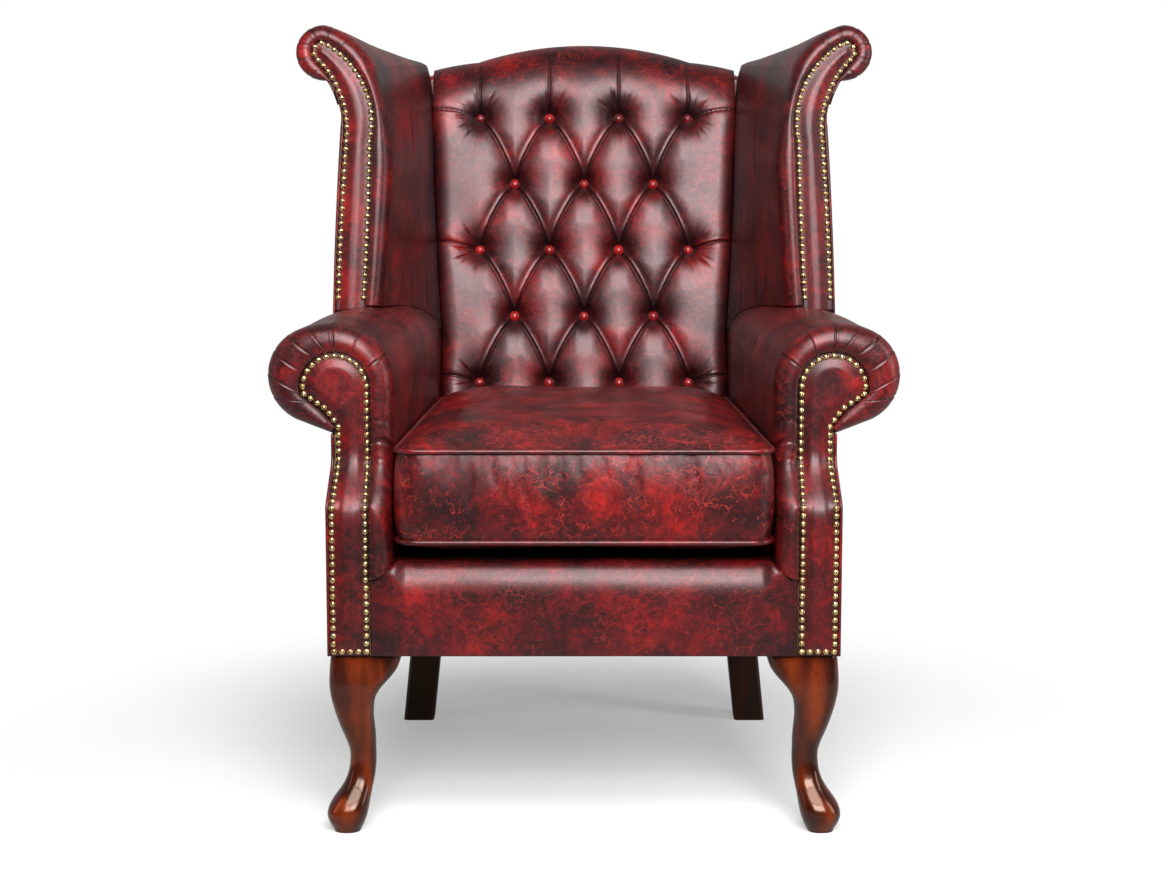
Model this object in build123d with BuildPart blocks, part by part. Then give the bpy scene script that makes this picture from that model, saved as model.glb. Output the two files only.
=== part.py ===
from math import asin, atan2, ceil, cos, radians, sin, tan
import os

from build123d import *

# A high-backed upholstered wing chair with rolled arms, a deep-buttoned back,
# a loose seat cushion and cabriole front legs. Millimetres, +Z up, the sitter
# looks along -Y. The floor is Z = 0 and the origin is under the middle of the
# chair. Left is -X and right is +X: the right side is drawn and mirrored.
# Heights "up the lean" are measured along a leaning plane from lean_z.
# A rise is a height above the tops of the legs, where the seat box starts.

# Stance
front_y = -391.0            # front face of the seat box
leg_height = 237.0
box_depth = 690.0           # front face to the rear of the frame, at the arm's neck
lean_rise = 363.0
wing_set_back = 330.0       # at lean_z, behind the front face
wing_lean = 8.0             # degrees
pad_set_back = 603.0
back_lean = 12.0            # degrees
back_thick = 95.0           # front of the back pad to the rear of the frame

# Plan
seat_half_front = 246.5     # inner face of an arm, from the middle
seat_half_rear = 214.0
arm_out_front = 329.5       # outer face of an arm's wall
arm_out_rear = 272.0

# Clearances
gap = 0.3                   # between pieces of one body
cushion_gap = 1.5           # between the loose cushion and the chair
overrun = 20.0              # how far cutters run past what they cut

# Rolled arm
arm_top_rise = 423.0
inner_roll_r = 82.0
inner_roll_rear_r = 62.0
crown_r = 118.0
crown_turn = 22.0           # degrees
outer_roll_r = 63.0
outer_turn = 133.0          # degrees
neck_rise = 281.0
arm_pad_foot_rise = 99.0
arm_pad_thick = 20.0
arm_nose_r = 14.0           # rounding of the padded front edge
arm_cap_thick = 12.0        # padding over the rear end of the roll

# Side profile of the arm's front
sweep_low_rise = 195.0
sweep_high_rise = 245.0
arm_set_back = 45.0
sweep_low_r = 12.0
sweep_high_r = 30.0

# Arm facing with its close-nailed border
facing_thick = 10.0
nail_in_x = 279.0
nail_low_x = 321.0
nail_neck_x = 315.5
head_rise = 341.0
head_r = 41.0
head_turn = 100.0           # degrees, from the top of the head round to its outer side
head_under_x = 331.0
head_under_rise = 314.0
neck_bend_rise = 291.0
nail_margin = 4.2           # nail line to the facing's edge
foot_nail_up = 6.0          # lowest nails above the facing's lower edge

# Nails
nail_head_r = 4.1
nail_head_h = 2.4
nail_shank_r = 0.9
nail_shank_l = 7.0
nail_pitch = 10.4
dome_half = 25.0            # degrees, a point part of the way down the dome

# Wing front, as heights up the lean
wing_foot = 0.0
wing_waist = 312.0
scroll_x = 368.0
scroll_up = 417.0
scroll_r = 40.0
scroll_start = 10.0         # degrees past the scroll's lowest point
wing_out_foot = 355.0
wing_out_waist = 344.0
wing_out_bulge = 2.0
wing_in_foot = 293.0
wing_in_waist = 271.0
wing_in_waist_up = 263.0
wing_brow_x = 296.0
wing_brow_up = 398.0
wing_pad_thick = 22.0       # at the front
wing_pad_mid = 13.0         # at the back pad
wing_pad_rear = 7.0
wing_post_thick = 30.0
wing_panel_up = 345.0       # top of the outside panel

# Wing facing: its nail line goes up the outer side, round the tip and down the inner side
wing_nail_out_foot = 346.0
wing_nail_out_waist = 333.5
wing_nail_turn_x = 345.0
wing_nail_turn_up = 366.0
wing_tip_x = 366.0
wing_tip_up = 417.0
wing_tip_r = 13.0
wing_nail_brow_x = 331.0
wing_nail_brow_up = 403.0
wing_nail_in_waist = 301.0
wing_nail_in_foot = 314.0
wing_nail_waist_up = 292.0

# Wing where it meets the back pad, and at the rear of the frame
mid_scroll_x = 284.0
mid_scroll_up = 394.0
mid_scroll_r = 22.0
mid_out_foot = 292.0
mid_out_waist = 285.0
rear_scroll_x = 256.0
rear_scroll_up = 393.0
rear_scroll_r = 16.0
join_brow_x = 240.0
join_brow_up = 410.0
join_waist_x = 229.0
join_foot_x = 216.0
wing_nose_r = 10.0
wing_split_front = 326.0    # line in plan between the wing's pad and its outside panel
wing_split_mid = 262.0
wing_split_rear = 252.0

# Back
crest_rise = 806.0
shoulder_rise = 780.0
shoulder_x = 168.0
crest_end_rise = 768.0
crest_end_x = 239.0
crest_swell = 1.5
pad_thick = 62.0
crest_wrap = 20.0           # padding over the crest rail
crest_nose_r = 18.0
post_wide = 31.5
post_top_up = 362.0
post_in_wall = 2.5          # its outer face inside the outside panel
crest_rail_deep = 62.0
tacking_rail_up = -165.0
tacking_rail_high = 40.0
hessian_thick = 1.5
webbing_thick = 2.0
webbing_wide = 36.0
panel_thick = 3.0
back_panel_thick = 4.0
web_columns = 3
web_rows = 4

# Buttons in a diamond pattern, as steps across and up the back
button_step_x = 106.0
button_step_up = 101.7
button_low_up = -75.0       # lowest row, up the lean
button_rows = 5
button_r = 8.0
button_h = 5.0
button_sink = 21.0          # rim under the pad's front plane
button_shank_r = 2.0
button_shank_l = 14.0
tuft_r = 30.0
tuft_floor_r = 10.0
pleat_half = 30.0
pleat_deep = 15.0
pleat_swell = 3.0           # rounding of the padding on each side of a pleat

# Frame timber
rail_high = 93.0
rail_thick = 28.0
side_rail_thick = 25.0
stump_thick = 36.0
arm_rail_low_rise = 338.0
arm_rail_high = 38.0
arm_rail_front_in = 315.0
arm_rail_front_out = 366.0
arm_rail_rear_in = 238.0
arm_rail_rear_out = 306.0
arm_tack_rise = 143.0
arm_tack_high = 28.0
arm_tack_wide = 18.0
block_leg = 70.0
block_high = 55.0
wing_rail_high = 24.0
wing_rail_up = 300.0

# Seat suspension and deck
spring_count = 5
spring_wire_r = 1.8
spring_half_wide = 24.0
spring_bends = 22
spring_bend_r = 8.0
spring_step_x = 84.0
spring_end_in = 5.0         # its clips' backs inside the rails' outer faces
clip_wide = 14.0
clip_long = 16.0
clip_thick = 1.2
deck_top_rise = 135.0
deck_set_back = 61.0
dust_thick = 1.0

# Front border
border_top_rise = 123.0
border_shoulder_r = 14.0
border_half = 273.5

# Loose cushion
cushion_front = 8.0         # its front seam stands this far before the seat box
cushion_seam_low_rise = 149.0
cushion_seam_top_rise = 266.0
cushion_rear_gap = 6.0
cushion_crown = 22.0
cushion_corner_r = 26.0
cushion_draw = 4.0          # sides drawn in at mid height
cushion_under = 9.0
cushion_skin = 3.0
cushion_crown_in = 170.0
crown_rise_shares = (0.0, 0.5, 0.8, 0.95, 1.0)
crown_run_shares = (0.0, 0.1, 0.32, 0.62, 1.0)
welt_r = 4.0

# Front leg, as shares of its block and of its height
leg_block = 100.0
leg_out_x = 334.0
leg_up_shares = (0.0, 0.05, 0.11, 0.17, 0.26, 0.36, 0.44, 0.56, 0.69, 0.78, 0.85, 0.93, 1.0)
leg_out_shares = (0.09, 0.03, 0.0, 0.06, 0.21, 0.28, 0.28, 0.19, 0.10, 0.06, 0.05, 0.06, 0.08)
leg_in_shares = (0.42, 0.48, 0.525, 0.55, 0.59, 0.62, 0.62, 0.61, 0.60, 0.67, 0.80, 0.94, 0.985)
leg_corner_shares = (0.44, 0.44, 0.44, 0.43, 0.42, 0.41, 0.40, 0.34, 0.28, 0.22, 0.18, 0.15, 0.14)

# Rear leg
rear_leg_wide = 46.0
rear_leg_x = 229.0          # its middle, at the top
rear_leg_set_back = 582.0   # its middle, at the top, behind the front face
rear_leg_rake = 30.0        # backwards, from top to floor
rear_leg_splay = 26.0       # outwards
rear_leg_chamfer = 4.0

# Leg bolts
bolt_r = 4.0
bolt_clearance = 0.2
bolt_into_leg = 30.0
bolt_head_r = 9.0
bolt_head_h = 4.0
bolt_in_block = 14.0        # from the block's square corner, both ways

# Worked out from the sizes above
lean_z = leg_height + lean_rise
arm_top_z = leg_height + arm_top_rise
neck_z = leg_height + neck_rise
arm_pad_foot_z = leg_height + arm_pad_foot_rise
sweep_low_z = leg_height + sweep_low_rise
sweep_high_z = leg_height + sweep_high_rise
head_z = leg_height + head_rise
head_under_z = leg_height + head_under_rise
neck_bend_z = leg_height + neck_bend_rise
crest_z = leg_height + crest_rise
shoulder_z = leg_height + shoulder_rise
crest_end_z = leg_height + crest_end_rise
arm_rail_low_z = leg_height + arm_rail_low_rise
arm_tack_z = leg_height + arm_tack_rise
deck_top_z = leg_height + deck_top_rise
border_top_z = leg_height + border_top_rise
cushion_seam_low_z = leg_height + cushion_seam_low_rise
cushion_seam_top_z = leg_height + cushion_seam_top_rise
rail_top_z = leg_height + rail_high
rear_y = front_y + box_depth
rail_front_y = front_y + facing_thick
rail_back_y = rail_front_y + rail_thick
spring_z = rail_top_z + clip_thick + spring_wire_r
clip_top_z = spring_z + spring_wire_r + gap + clip_thick
hessian_z = clip_top_z + gap
deck_low_z = hessian_z + hessian_thick
arm_taper = (arm_out_front - arm_out_rear) / box_depth
seat_taper = (seat_half_front - seat_half_rear) / box_depth
arm_reach = arm_out_front + crown_r + outer_roll_r


def arm_in_at(y):
    """Inner face of an arm at y."""
    return seat_half_front - (y - front_y) * seat_taper


def arm_out_at(y):
    """Outer face of an arm's wall at y."""
    return arm_out_front - (y - front_y) * arm_taper


def leaning_plane(set_back, lean):
    """Plane that leans back, facing the sitter's way; its own Y runs up the lean from lean_z."""
    return Plane(
        origin=(0, front_y + set_back, lean_z),
        x_dir=(1, 0, 0),
        z_dir=(0, -cos(radians(lean)), sin(radians(lean))),
    )


wing_plane = leaning_plane(wing_set_back, wing_lean)
pad_plane = leaning_plane(pad_set_back, back_lean)
frame_plane = pad_plane.offset(-back_thick)
panel_plane = frame_plane.offset(back_panel_thick)
web_plane = pad_plane.offset(-pad_thick)
post_plane = web_plane.offset(-webbing_thick)


def up_back(z):
    """Height z as a distance up the back's lean."""
    return (z - lean_z) / cos(radians(back_lean))


def back_y(z, behind=0.0):
    """Where a plane parallel to the back pad's front, and this far behind it, is at height z."""
    return front_y + pad_set_back + (z - lean_z) * tan(radians(back_lean)) + behind / cos(radians(back_lean))


def station(y):
    """Upright plane across the chair at y; its own Y runs up."""
    return Plane.XZ.offset(-y)


pieces = {}


def keep(name, shape):
    """Labels a finished piece and writes it to its own file."""
    shape.label = name
    pieces[name] = shape
    export_step(shape, f"parts/{name}.step")


def keep_pair(name, shape):
    """Keeps the right-hand piece and its mirror image on the left."""
    keep(name + "_right", shape)
    keep(name + "_left", mirror(shape, about=Plane.YZ))


def tapered_board(front, rear, low_z, high_z):
    """Board along the chair's side; front and rear are (y, inner x, outer x)."""
    with BuildPart() as board:
        for y, inner, outer in (front, rear):
            with BuildSketch(station(y)):
                with BuildLine():
                    Polyline((inner, low_z), (outer, low_z), (outer, high_z), (inner, high_z), close=True)
                make_face()
        loft(ruled=True)
    return board.part


def side_board(y0, y1, low_z, high_z, inset, thick):
    """Board that follows the arm's outer wall, this far inside it."""
    front = (y0, arm_out_at(y0) - inset - thick, arm_out_at(y0) - inset)
    rear = (y1, arm_out_at(y1) - inset - thick, arm_out_at(y1) - inset)
    return tapered_board(front, rear, low_z, high_z)


def leaning_slab(plane, near, far, half, low_up, high_up, offset_x=0.0):
    """Block between two planes parallel to a leaning plane, at depths near and far behind it."""
    with BuildPart() as slab:
        with BuildSketch(plane.offset(-near)):
            with Locations((offset_x, (low_up + high_up) / 2)):
                Rectangle(2 * half, high_up - low_up)
        extrude(amount=near - far)
    return slab.part


# Arm envelope
def arm_section(y, grow, wall_grow, foot_z):
    """Outline of the rolled arm across the chair at y, larger all round by grow."""
    along = (y - front_y) / box_depth
    roll_in = inner_roll_r + (inner_roll_rear_r - inner_roll_r) * along
    inner = arm_in_at(y) - grow
    wall = arm_out_at(y) + wall_grow
    with BuildSketch(station(y)) as section:
        with BuildLine():
            rise = Line((inner, foot_z), (inner, arm_top_z - roll_in))
            over = JernArc(rise @ 1, (0, 1), roll_in + grow, -90)
            crown = JernArc(over @ 1, (1, 0), crown_r + grow, -crown_turn)
            roll = JernArc(crown @ 1, crown % 1, outer_roll_r + grow, -outer_turn)
            neck = Line(roll @ 1, (wall, neck_z - grow))
            drop = Line(neck @ 1, (wall, foot_z))
            Line(drop @ 1, rise @ 0)
        make_face()
    return section.sketch


def arm_body(grow=0.0, wall_grow=0.0, foot_z=arm_pad_foot_z, set_back=0.0):
    """The arm's envelope as one solid, from its swept front to past the rear frame."""
    y_start = front_y - overrun
    y_end = rear_y + back_thick
    with BuildPart() as body:
        loft(
            sections=[arm_section(y, grow, wall_grow, foot_z) for y in (y_start, y_end)],
            ruled=True,
        )
        add(front_slab(-arm_set_back - 2 * overrun, set_back), mode=Mode.SUBTRACT)
    return body.part


def front_curve(back):
    """Corners of the swept front line in side view, moved back by a distance."""
    y = front_y + back
    return [
        (y, leg_height - overrun),
        (y, sweep_low_z),
        (y + arm_set_back, sweep_high_z),
        (y + arm_set_back, arm_top_z + overrun),
    ]


def front_slab(near, far):
    """Space between the front line moved back by near and by far, out to the chair's side."""
    with BuildPart() as slab:
        with BuildSketch(Plane.YZ):
            with BuildLine():
                a = FilletPolyline(*front_curve(near), radius=[sweep_low_r, sweep_high_r])
                b = FilletPolyline(*front_curve(far), radius=[sweep_low_r, sweep_high_r])
                Line(a @ 0, b @ 0)
                Line(a @ 1, b @ 1)
            make_face()
        extrude(amount=arm_reach)
    return slab.part


def front_set_back(z):
    """Set-back of the swept front line at height z, and its slope in degrees."""
    slope = atan2(arm_set_back, sweep_high_z - sweep_low_z)
    low_t = sweep_low_r * tan(slope / 2)
    high_t = sweep_high_r * tan(slope / 2)
    if z <= sweep_low_z - low_t:
        return 0.0, 0.0
    if z <= sweep_low_z + low_t * cos(slope):
        turn = asin((z - sweep_low_z + low_t) / sweep_low_r)
        return sweep_low_r * (1 - cos(turn)), turn
    if z <= sweep_high_z - high_t * cos(slope):
        return (z - sweep_low_z) * tan(slope), slope
    if z <= sweep_high_z + high_t:
        turn = asin((sweep_high_z + high_t - z) / sweep_high_r)
        return arm_set_back - sweep_high_r * (1 - cos(turn)), turn
    return arm_set_back, 0.0


def on_arm_front(point):
    """Whether a point lies on the swept front line."""
    return abs(point.Y - front_y - front_set_back(point.Z)[0]) < gap


def nose_edges(body):
    """Edges round the arm's front, without its outer wall and foot."""
    found = []
    for edge in body.edges():
        low, high = sorted((edge @ 0, edge @ 1), key=lambda point: point.Z)
        on_front = on_arm_front(low) and on_arm_front(high) and on_arm_front(edge @ 0.5)
        on_wall = low.X > nail_low_x and high.Z < neck_z + gap
        if on_front and high.Z - low.Z > gap and not on_wall:
            found.append(edge)
    return found


def facing_outline(margin, foot_z):
    """Edges of the arm facing's outline, outside the nail line by margin."""
    inner, low, neck = nail_in_x - margin, nail_low_x + margin, nail_neck_x + margin
    radius = head_r + margin
    with BuildLine() as outline:
        rise = Line((inner, foot_z), (inner, head_z))
        over = JernArc(rise @ 1, (0, 1), radius, -90)
        down = JernArc(over @ 1, (1, 0), radius, -head_turn)
        under = Line(down @ 1, (head_under_x + margin, head_under_z - margin))
        bend = Line(under @ 1, (neck, neck_bend_z))
        throat = Line(bend @ 1, (neck, sweep_high_z))
        flare = Line(throat @ 1, (low, sweep_low_z))
        drop = Line(flare @ 1, (low, foot_z))
        Line(drop @ 1, rise @ 0)
    return outline.wire()


def facing_block(margin, foot_z, near, far):
    """The facing's outline carried back between two copies of the swept front line."""
    with BuildPart() as block:
        with BuildSketch(station(front_y - overrun)):
            add(facing_outline(margin, foot_z))
            make_face()
        extrude(amount=-(arm_set_back + stump_thick + far + 2 * overrun))
        add(front_slab(near, far), mode=Mode.INTERSECT)
    return block.part


def wing_outline(plane, outer, scroll, brow, waist, foot_x, grow, out_grow):
    """Closed outline of the wing: up the outer side, round the scroll, down the inner side.

    outer is (x at the foot, x at the waist, bulge between them) and scroll is (x, up, radius).
    """
    cx, cy, radius = scroll
    r = radius + grow
    foot_out, waist_out, bulge = outer
    foot = wing_foot - grow
    low = (cx - r * sin(radians(scroll_start)), cy - r * cos(radians(scroll_start)))
    start = (foot_out + out_grow, foot)
    turn = (waist_out + out_grow, wing_waist)
    neck = (turn[0] + (low[0] - turn[0]) / 4, turn[1] + (low[1] - turn[1]) * 2 / 3)
    brow_in = (brow[0] - grow, brow[1] - grow / 2)
    waist_in = (waist[0] - grow, waist[1])
    foot_in = (foot_x - grow, foot)
    with BuildSketch(plane) as section:
        with BuildLine():
            ThreePointArc(start, ((start[0] + turn[0]) / 2 + bulge, (start[1] + turn[1]) / 2), turn)
            ThreePointArc(turn, neck, low)
            quarter = ThreePointArc(low, (cx + r * cos(radians(45)), cy - r * sin(radians(45))), (cx + r, cy))
            upper = (cx + r * cos(radians(45)), cy + r * sin(radians(45)))
            roll = ThreePointArc(quarter @ 1, upper, (cx, cy + r))
            dip = ((cx + brow_in[0]) / 2 - (cx - brow_in[0]) / 12, (cy + r + brow_in[1]) / 2 + r / 5)
            ThreePointArc(roll @ 1, dip, brow_in)
            sweep_x = (brow_in[0] + waist_in[0]) / 2 - (brow_in[0] - waist_in[0]) / 6
            ThreePointArc(brow_in, (sweep_x, (brow_in[1] + waist_in[1]) / 2), waist_in)
            belly_x = (waist_in[0] + foot_in[0]) / 2 - (foot_in[0] - waist_in[0]) / 9
            belly = (belly_x, (waist_in[1] + foot) / 2)
            ThreePointArc(waist_in, belly, foot_in)
            Line(foot_in, start)
        make_face()
    return section.sketch


def wing_section(place, grow, out_grow):
    """Outline of the wing at one of its three stations: 0 front, 1 back pad, 2 rear of the frame."""
    if place == 0:
        outer = (wing_out_foot, wing_out_waist, wing_out_bulge)
        scroll = (scroll_x, scroll_up, scroll_r)
        waist = (wing_in_waist, wing_in_waist_up)
        brow = (wing_brow_x, wing_brow_up)
        return wing_outline(wing_plane, outer, scroll, brow, waist, wing_in_foot, grow, out_grow)
    waist = (join_waist_x, wing_in_waist_up)
    brow = (join_brow_x, join_brow_up)
    if place == 1:
        outer = (mid_out_foot, mid_out_waist, wing_out_bulge)
        scroll = (mid_scroll_x, mid_scroll_up, mid_scroll_r)
        return wing_outline(pad_plane, outer, scroll, brow, waist, join_foot_x, grow, out_grow)
    outer = (arm_out_rear, arm_out_rear - gap, gap)
    scroll = (rear_scroll_x, rear_scroll_up, rear_scroll_r)
    return wing_outline(frame_plane, outer, scroll, brow, waist, join_foot_x, grow, out_grow)


def wing_body(grows=(0.0, 0.0, 0.0), out_grow=0.0):
    """The wing's envelope, larger at each station by its own grow, and by out_grow on its outer side."""
    with BuildPart() as body:
        loft(sections=[wing_section(place, grow, out_grow) for place, grow in enumerate(grows)], ruled=True)
    return body.part


def wing_nose_edges(body):
    """Edges round the wing's front, without its outer side below the scroll and its foot."""
    side_top = scroll_up - scroll_r * cos(radians(scroll_start)) + gap
    found = []
    for edge in body.edges():
        spots = [wing_plane.to_local_coords(edge @ place) for place in (0, 0.5, 1)]
        on_front = max(abs(spot.Z) for spot in spots) < gap
        top = max(spot.Y for spot in spots)
        on_side = min(spot.X for spot in spots) > wing_out_waist - gap and top < side_top
        on_foot = top < wing_foot + gap
        if on_front and not on_side and not on_foot:
            found.append(edge)
    return found


def wing_nail_line():
    """Nail line of the wing facing, from its outer foot round the tip to its inner foot."""
    tip_low = (wing_tip_x + wing_tip_r * cos(radians(60)), wing_tip_up - wing_tip_r * sin(radians(60)))
    tip_end = (wing_tip_x + wing_tip_r, wing_tip_up)
    tip_top = (wing_tip_x, wing_tip_up + wing_tip_r)
    with BuildLine() as line:
        foot = (wing_nail_out_foot, wing_foot)
        waist = (wing_nail_out_waist, wing_nail_waist_up)
        ThreePointArc(foot, ((foot[0] + waist[0]) / 2 + wing_out_bulge, (foot[1] + waist[1]) / 2), waist)
        ThreePointArc(waist, (wing_nail_turn_x, wing_nail_turn_up), tip_low)
        tip = ThreePointArc(tip_low, tip_end, tip_top)
        waist_in = (wing_nail_in_waist, wing_nail_waist_up)
        ThreePointArc(tip @ 1, (wing_nail_brow_x, wing_nail_brow_up), waist_in)
        foot_in = (wing_nail_in_foot, wing_foot)
        middle_in = ((waist_in[0] + foot_in[0]) / 2 - wing_out_bulge, (foot_in[1] + waist_in[1]) / 2)
        ThreePointArc(waist_in, middle_in, foot_in)
    return line.wire()


def crest_outline(drop, low_up):
    """Edges of the back's outline: straight sides and the camel-back crest, lowered by drop."""
    end = (crest_end_x, up_back(crest_end_z) - drop)
    shoulder = (shoulder_x, up_back(shoulder_z) - drop)
    between = ((crest_end_x + shoulder_x) / 2, up_back((crest_end_z + shoulder_z) / 2 + crest_swell) - drop)
    with BuildLine() as outline:
        Line((-crest_end_x, low_up), (crest_end_x, low_up))
        Line((crest_end_x, low_up), end)
        ThreePointArc(end, between, shoulder)
        ThreePointArc(shoulder, (0, up_back(crest_z) - drop), (-shoulder[0], shoulder[1]))
        ThreePointArc((-shoulder[0], shoulder[1]), (-between[0], between[1]), (-end[0], end[1]))
        Line((-end[0], end[1]), (-crest_end_x, low_up))
    return outline.wire()


def row_shares(row):
    """Places of the buttons in a row, as shares of the step across: four, then three, in turn."""
    return (-1.5, -0.5, 0.5, 1.5) if row % 2 == 0 else (-1.0, 0.0, 1.0)


def button_spots():
    """Places of all buttons in the back pad's plane."""
    spots = []
    for row in range(button_rows):
        up = button_low_up + row * button_step_up
        spots += [(share * button_step_x, up) for share in row_shares(row)]
    return spots


def pleat_runs():
    """Start and end of each pleat in the back pad's plane."""
    spots = button_spots()
    reach = button_step_x / 2 + tuft_floor_r
    runs = []
    for x, up in spots:
        for far_x, far_up in spots:
            if 0 < far_up - up < 1.5 * button_step_up and abs(far_x - x) < reach:
                runs.append(((x, up), (far_x, far_up)))
    side = 1.5 * button_step_x
    for row in range(0, button_rows, 2):
        up = button_low_up + row * button_step_up
        runs += [((side * way, up), ((crest_end_x + overrun) * way, up)) for way in (-1, 1)]
    top = button_low_up + (button_rows - 1) * button_step_up
    over = up_back(crest_z) + overrun
    runs += [((share * button_step_x, top), (share * button_step_x, over)) for share in row_shares(0)]
    return runs


def pleat_cutter(start, end):
    """Groove along a pleat: two swelling sides that meet in a fold."""
    a = pad_plane.from_local_coords(Vector(*start, 0))
    b = pad_plane.from_local_coords(Vector(*end, 0))
    along = (b - a).normalized()
    across = pad_plane.z_dir.cross(along)
    side = (pleat_half**2 + pleat_deep**2) ** 0.5
    bulge_x = pleat_half / 2 - pleat_swell * pleat_deep / side
    bulge = (bulge_x, -pleat_deep / 2 + pleat_swell * pleat_half / side)
    with BuildPart() as groove:
        with BuildSketch(Plane(origin=a, x_dir=across, z_dir=along)):
            with BuildLine():
                ThreePointArc((-pleat_half, 0), (-bulge[0], bulge[1]), (0, -pleat_deep))
                ThreePointArc((0, -pleat_deep), bulge, (pleat_half, 0))
                Polyline((pleat_half, 0), (pleat_half, overrun), (-pleat_half, overrun), (-pleat_half, 0))
            make_face()
        extrude(amount=(b - a).length)
    return groove.part


def even_spots(line, pitch, place, closed):
    """Equally spaced places along a curve after place() has put it in space."""
    fine = max(2, ceil(line.length / (nail_head_r / 4)))
    points = [place(line @ (i / fine)) for i in range(fine + 1)]
    run = [0.0]
    for a, b in zip(points, points[1:]):
        run.append(run[-1] + (b - a).length)
    count = max(2, round(run[-1] / pitch))
    spots = []
    at = 0
    for i in range(count if closed else count + 1):
        want = run[-1] * i / count
        while at < fine - 1 and run[at + 1] < want:
            at += 1
        share = (want - run[at]) / (run[at + 1] - run[at])
        spots.append(points[at] + (points[at + 1] - points[at]) * share)
    return spots


def nails(planes):
    """One nail on each plane: a domed head on the surface and its shank behind it."""
    rise = (nail_head_r**2 - nail_head_h**2) / (2 * nail_head_h)
    dome_r = rise + nail_head_h
    with BuildPart() as nail:
        with BuildSketch(Plane.XZ):
            with BuildLine():
                ThreePointArc(
                    (nail_head_r, 0),
                    (dome_r * sin(radians(dome_half)), dome_r * cos(radians(dome_half)) - rise),
                    (0, nail_head_h),
                )
                Polyline(
                    (0, nail_head_h),
                    (0, -nail_shank_l),
                    (nail_shank_r, -nail_shank_l),
                    (nail_shank_r, 0),
                    (nail_head_r, 0),
                )
            make_face()
        revolve(axis=Axis.Z)
    with BuildPart() as row:
        with Locations(*[Location(plane) for plane in planes]):
            add(nail.part)
    return row.part


def cushion_ring(z, inset):
    """Outline of the cushion at height z, inside its seam line by inset."""
    y0 = front_y - cushion_front + inset
    y1 = back_y(max(z, cushion_seam_low_z)) - cushion_rear_gap - welt_r - inset
    side = cushion_gap + welt_r + inset
    with BuildLine() as ring:
        FilletPolyline(
            (arm_in_at(y0) - side, y0),
            (arm_in_at(y1) - side, y1),
            (side - arm_in_at(y1), y1),
            (side - arm_in_at(y0), y0),
            radius=cushion_corner_r,
            close=True,
        )
    return ring.wire()


def cushion_form(skin):
    """The cushion's closed form, inside its outer surface by skin."""
    low = deck_top_z + gap
    middle = (cushion_seam_low_z + cushion_seam_top_z) / 2
    stages = (
        ((low + skin, cushion_under), (cushion_seam_low_z, 0)),
        ((cushion_seam_low_z, 0), (middle, cushion_draw), (cushion_seam_top_z, 0)),
        tuple(
            (cushion_seam_top_z + (cushion_crown - skin) * rise, cushion_crown_in * run)
            for rise, run in zip(crown_rise_shares, crown_run_shares)
        ),
    )
    with BuildPart() as form:
        for stage in stages:
            for z, inset in stage:
                with BuildSketch(Plane.XY.offset(z)):
                    add(cushion_ring(z, inset + skin))
                    make_face()
            loft(ruled=len(stage) == 2)
    return form.part


def welt(z, radius):
    """Cord of piping round the cushion's seam."""
    seam = cushion_ring(z, 0).moved(Location((0, 0, z)))
    with BuildPart() as cord:
        with BuildSketch(Plane(origin=seam @ 0, z_dir=seam % 0)):
            Circle(radius)
        sweep(path=seam)
    return cord.part


def cabriole_leg():
    """Cabriole leg: the same curve on its side and front faces, from a square block down."""
    right = leg_out_x
    with BuildPart() as leg:
        for up, outer, inner, corner in zip(leg_up_shares, leg_out_shares, leg_in_shares, leg_corner_shares):
            wide = (inner - outer) * leg_block
            middle = (inner + outer) / 2 * leg_block
            with BuildSketch(Plane.XY.offset(up * leg_height)):
                with Locations((right - middle, front_y + middle)):
                    RectangleRounded(wide, wide, wide * corner)
        loft()
    return leg.part


def raked_leg():
    """Straight leg, raked backwards and splayed outwards, with chamfered edges."""
    with BuildPart() as leg:
        for z, out, back in ((0, rear_leg_splay, rear_leg_rake), (leg_height, 0, 0)):
            with BuildSketch(Plane.XY.offset(z)):
                with Locations((rear_leg_x + out, front_y + rear_leg_set_back + back)):
                    square = Rectangle(rear_leg_wide, rear_leg_wide)
                    chamfer(square.vertices(), rear_leg_chamfer)
        loft(ruled=True)
    return leg.part


def corner_block(corner, side_far, rail_far):
    """Three-cornered block with its square corner at corner."""
    with BuildPart() as block:
        with BuildSketch(Plane.XY.offset(leg_height)):
            with BuildLine():
                Polyline(corner, side_far, rail_far, close=True)
            make_face()
        extrude(amount=block_high)
    return block.part


def clip(y, way):
    """Clip for a spring's end: a folded strip with its back at y, open towards way."""
    with BuildPart() as folded:
        with BuildSketch(Plane.YZ):
            with BuildLine():
                Polyline(
                    (y, rail_top_z),
                    (y + way * clip_long, rail_top_z),
                    (y + way * clip_long, rail_top_z + clip_thick),
                    (y + way * clip_thick, rail_top_z + clip_thick),
                    (y + way * clip_thick, clip_top_z - clip_thick),
                    (y + way * clip_long, clip_top_z - clip_thick),
                    (y + way * clip_long, clip_top_z),
                    (y, clip_top_z),
                    close=True,
                )
            make_face()
        extrude(amount=clip_wide / 2, both=True)
    return folded.part


def zigzag_spring(x, y0, y1):
    """Sinuous spring from y0 to y1 with its bends to the left and right of x."""
    step = (y1 - y0) / (spring_bends + 1)
    bends = [(x + spring_half_wide * (-1) ** i, y0 + step * (i + 1)) for i in range(spring_bends)]
    with BuildPart() as spring:
        with BuildLine(Plane.XY.offset(spring_z)) as path:
            FilletPolyline((x, y0), *bends, (x, y1), radius=spring_bend_r)
        with BuildSketch(Plane(origin=path.line @ 0, z_dir=path.line % 0)):
            Circle(spring_wire_r)
        sweep(path=path.line)
    return spring.part


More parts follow.
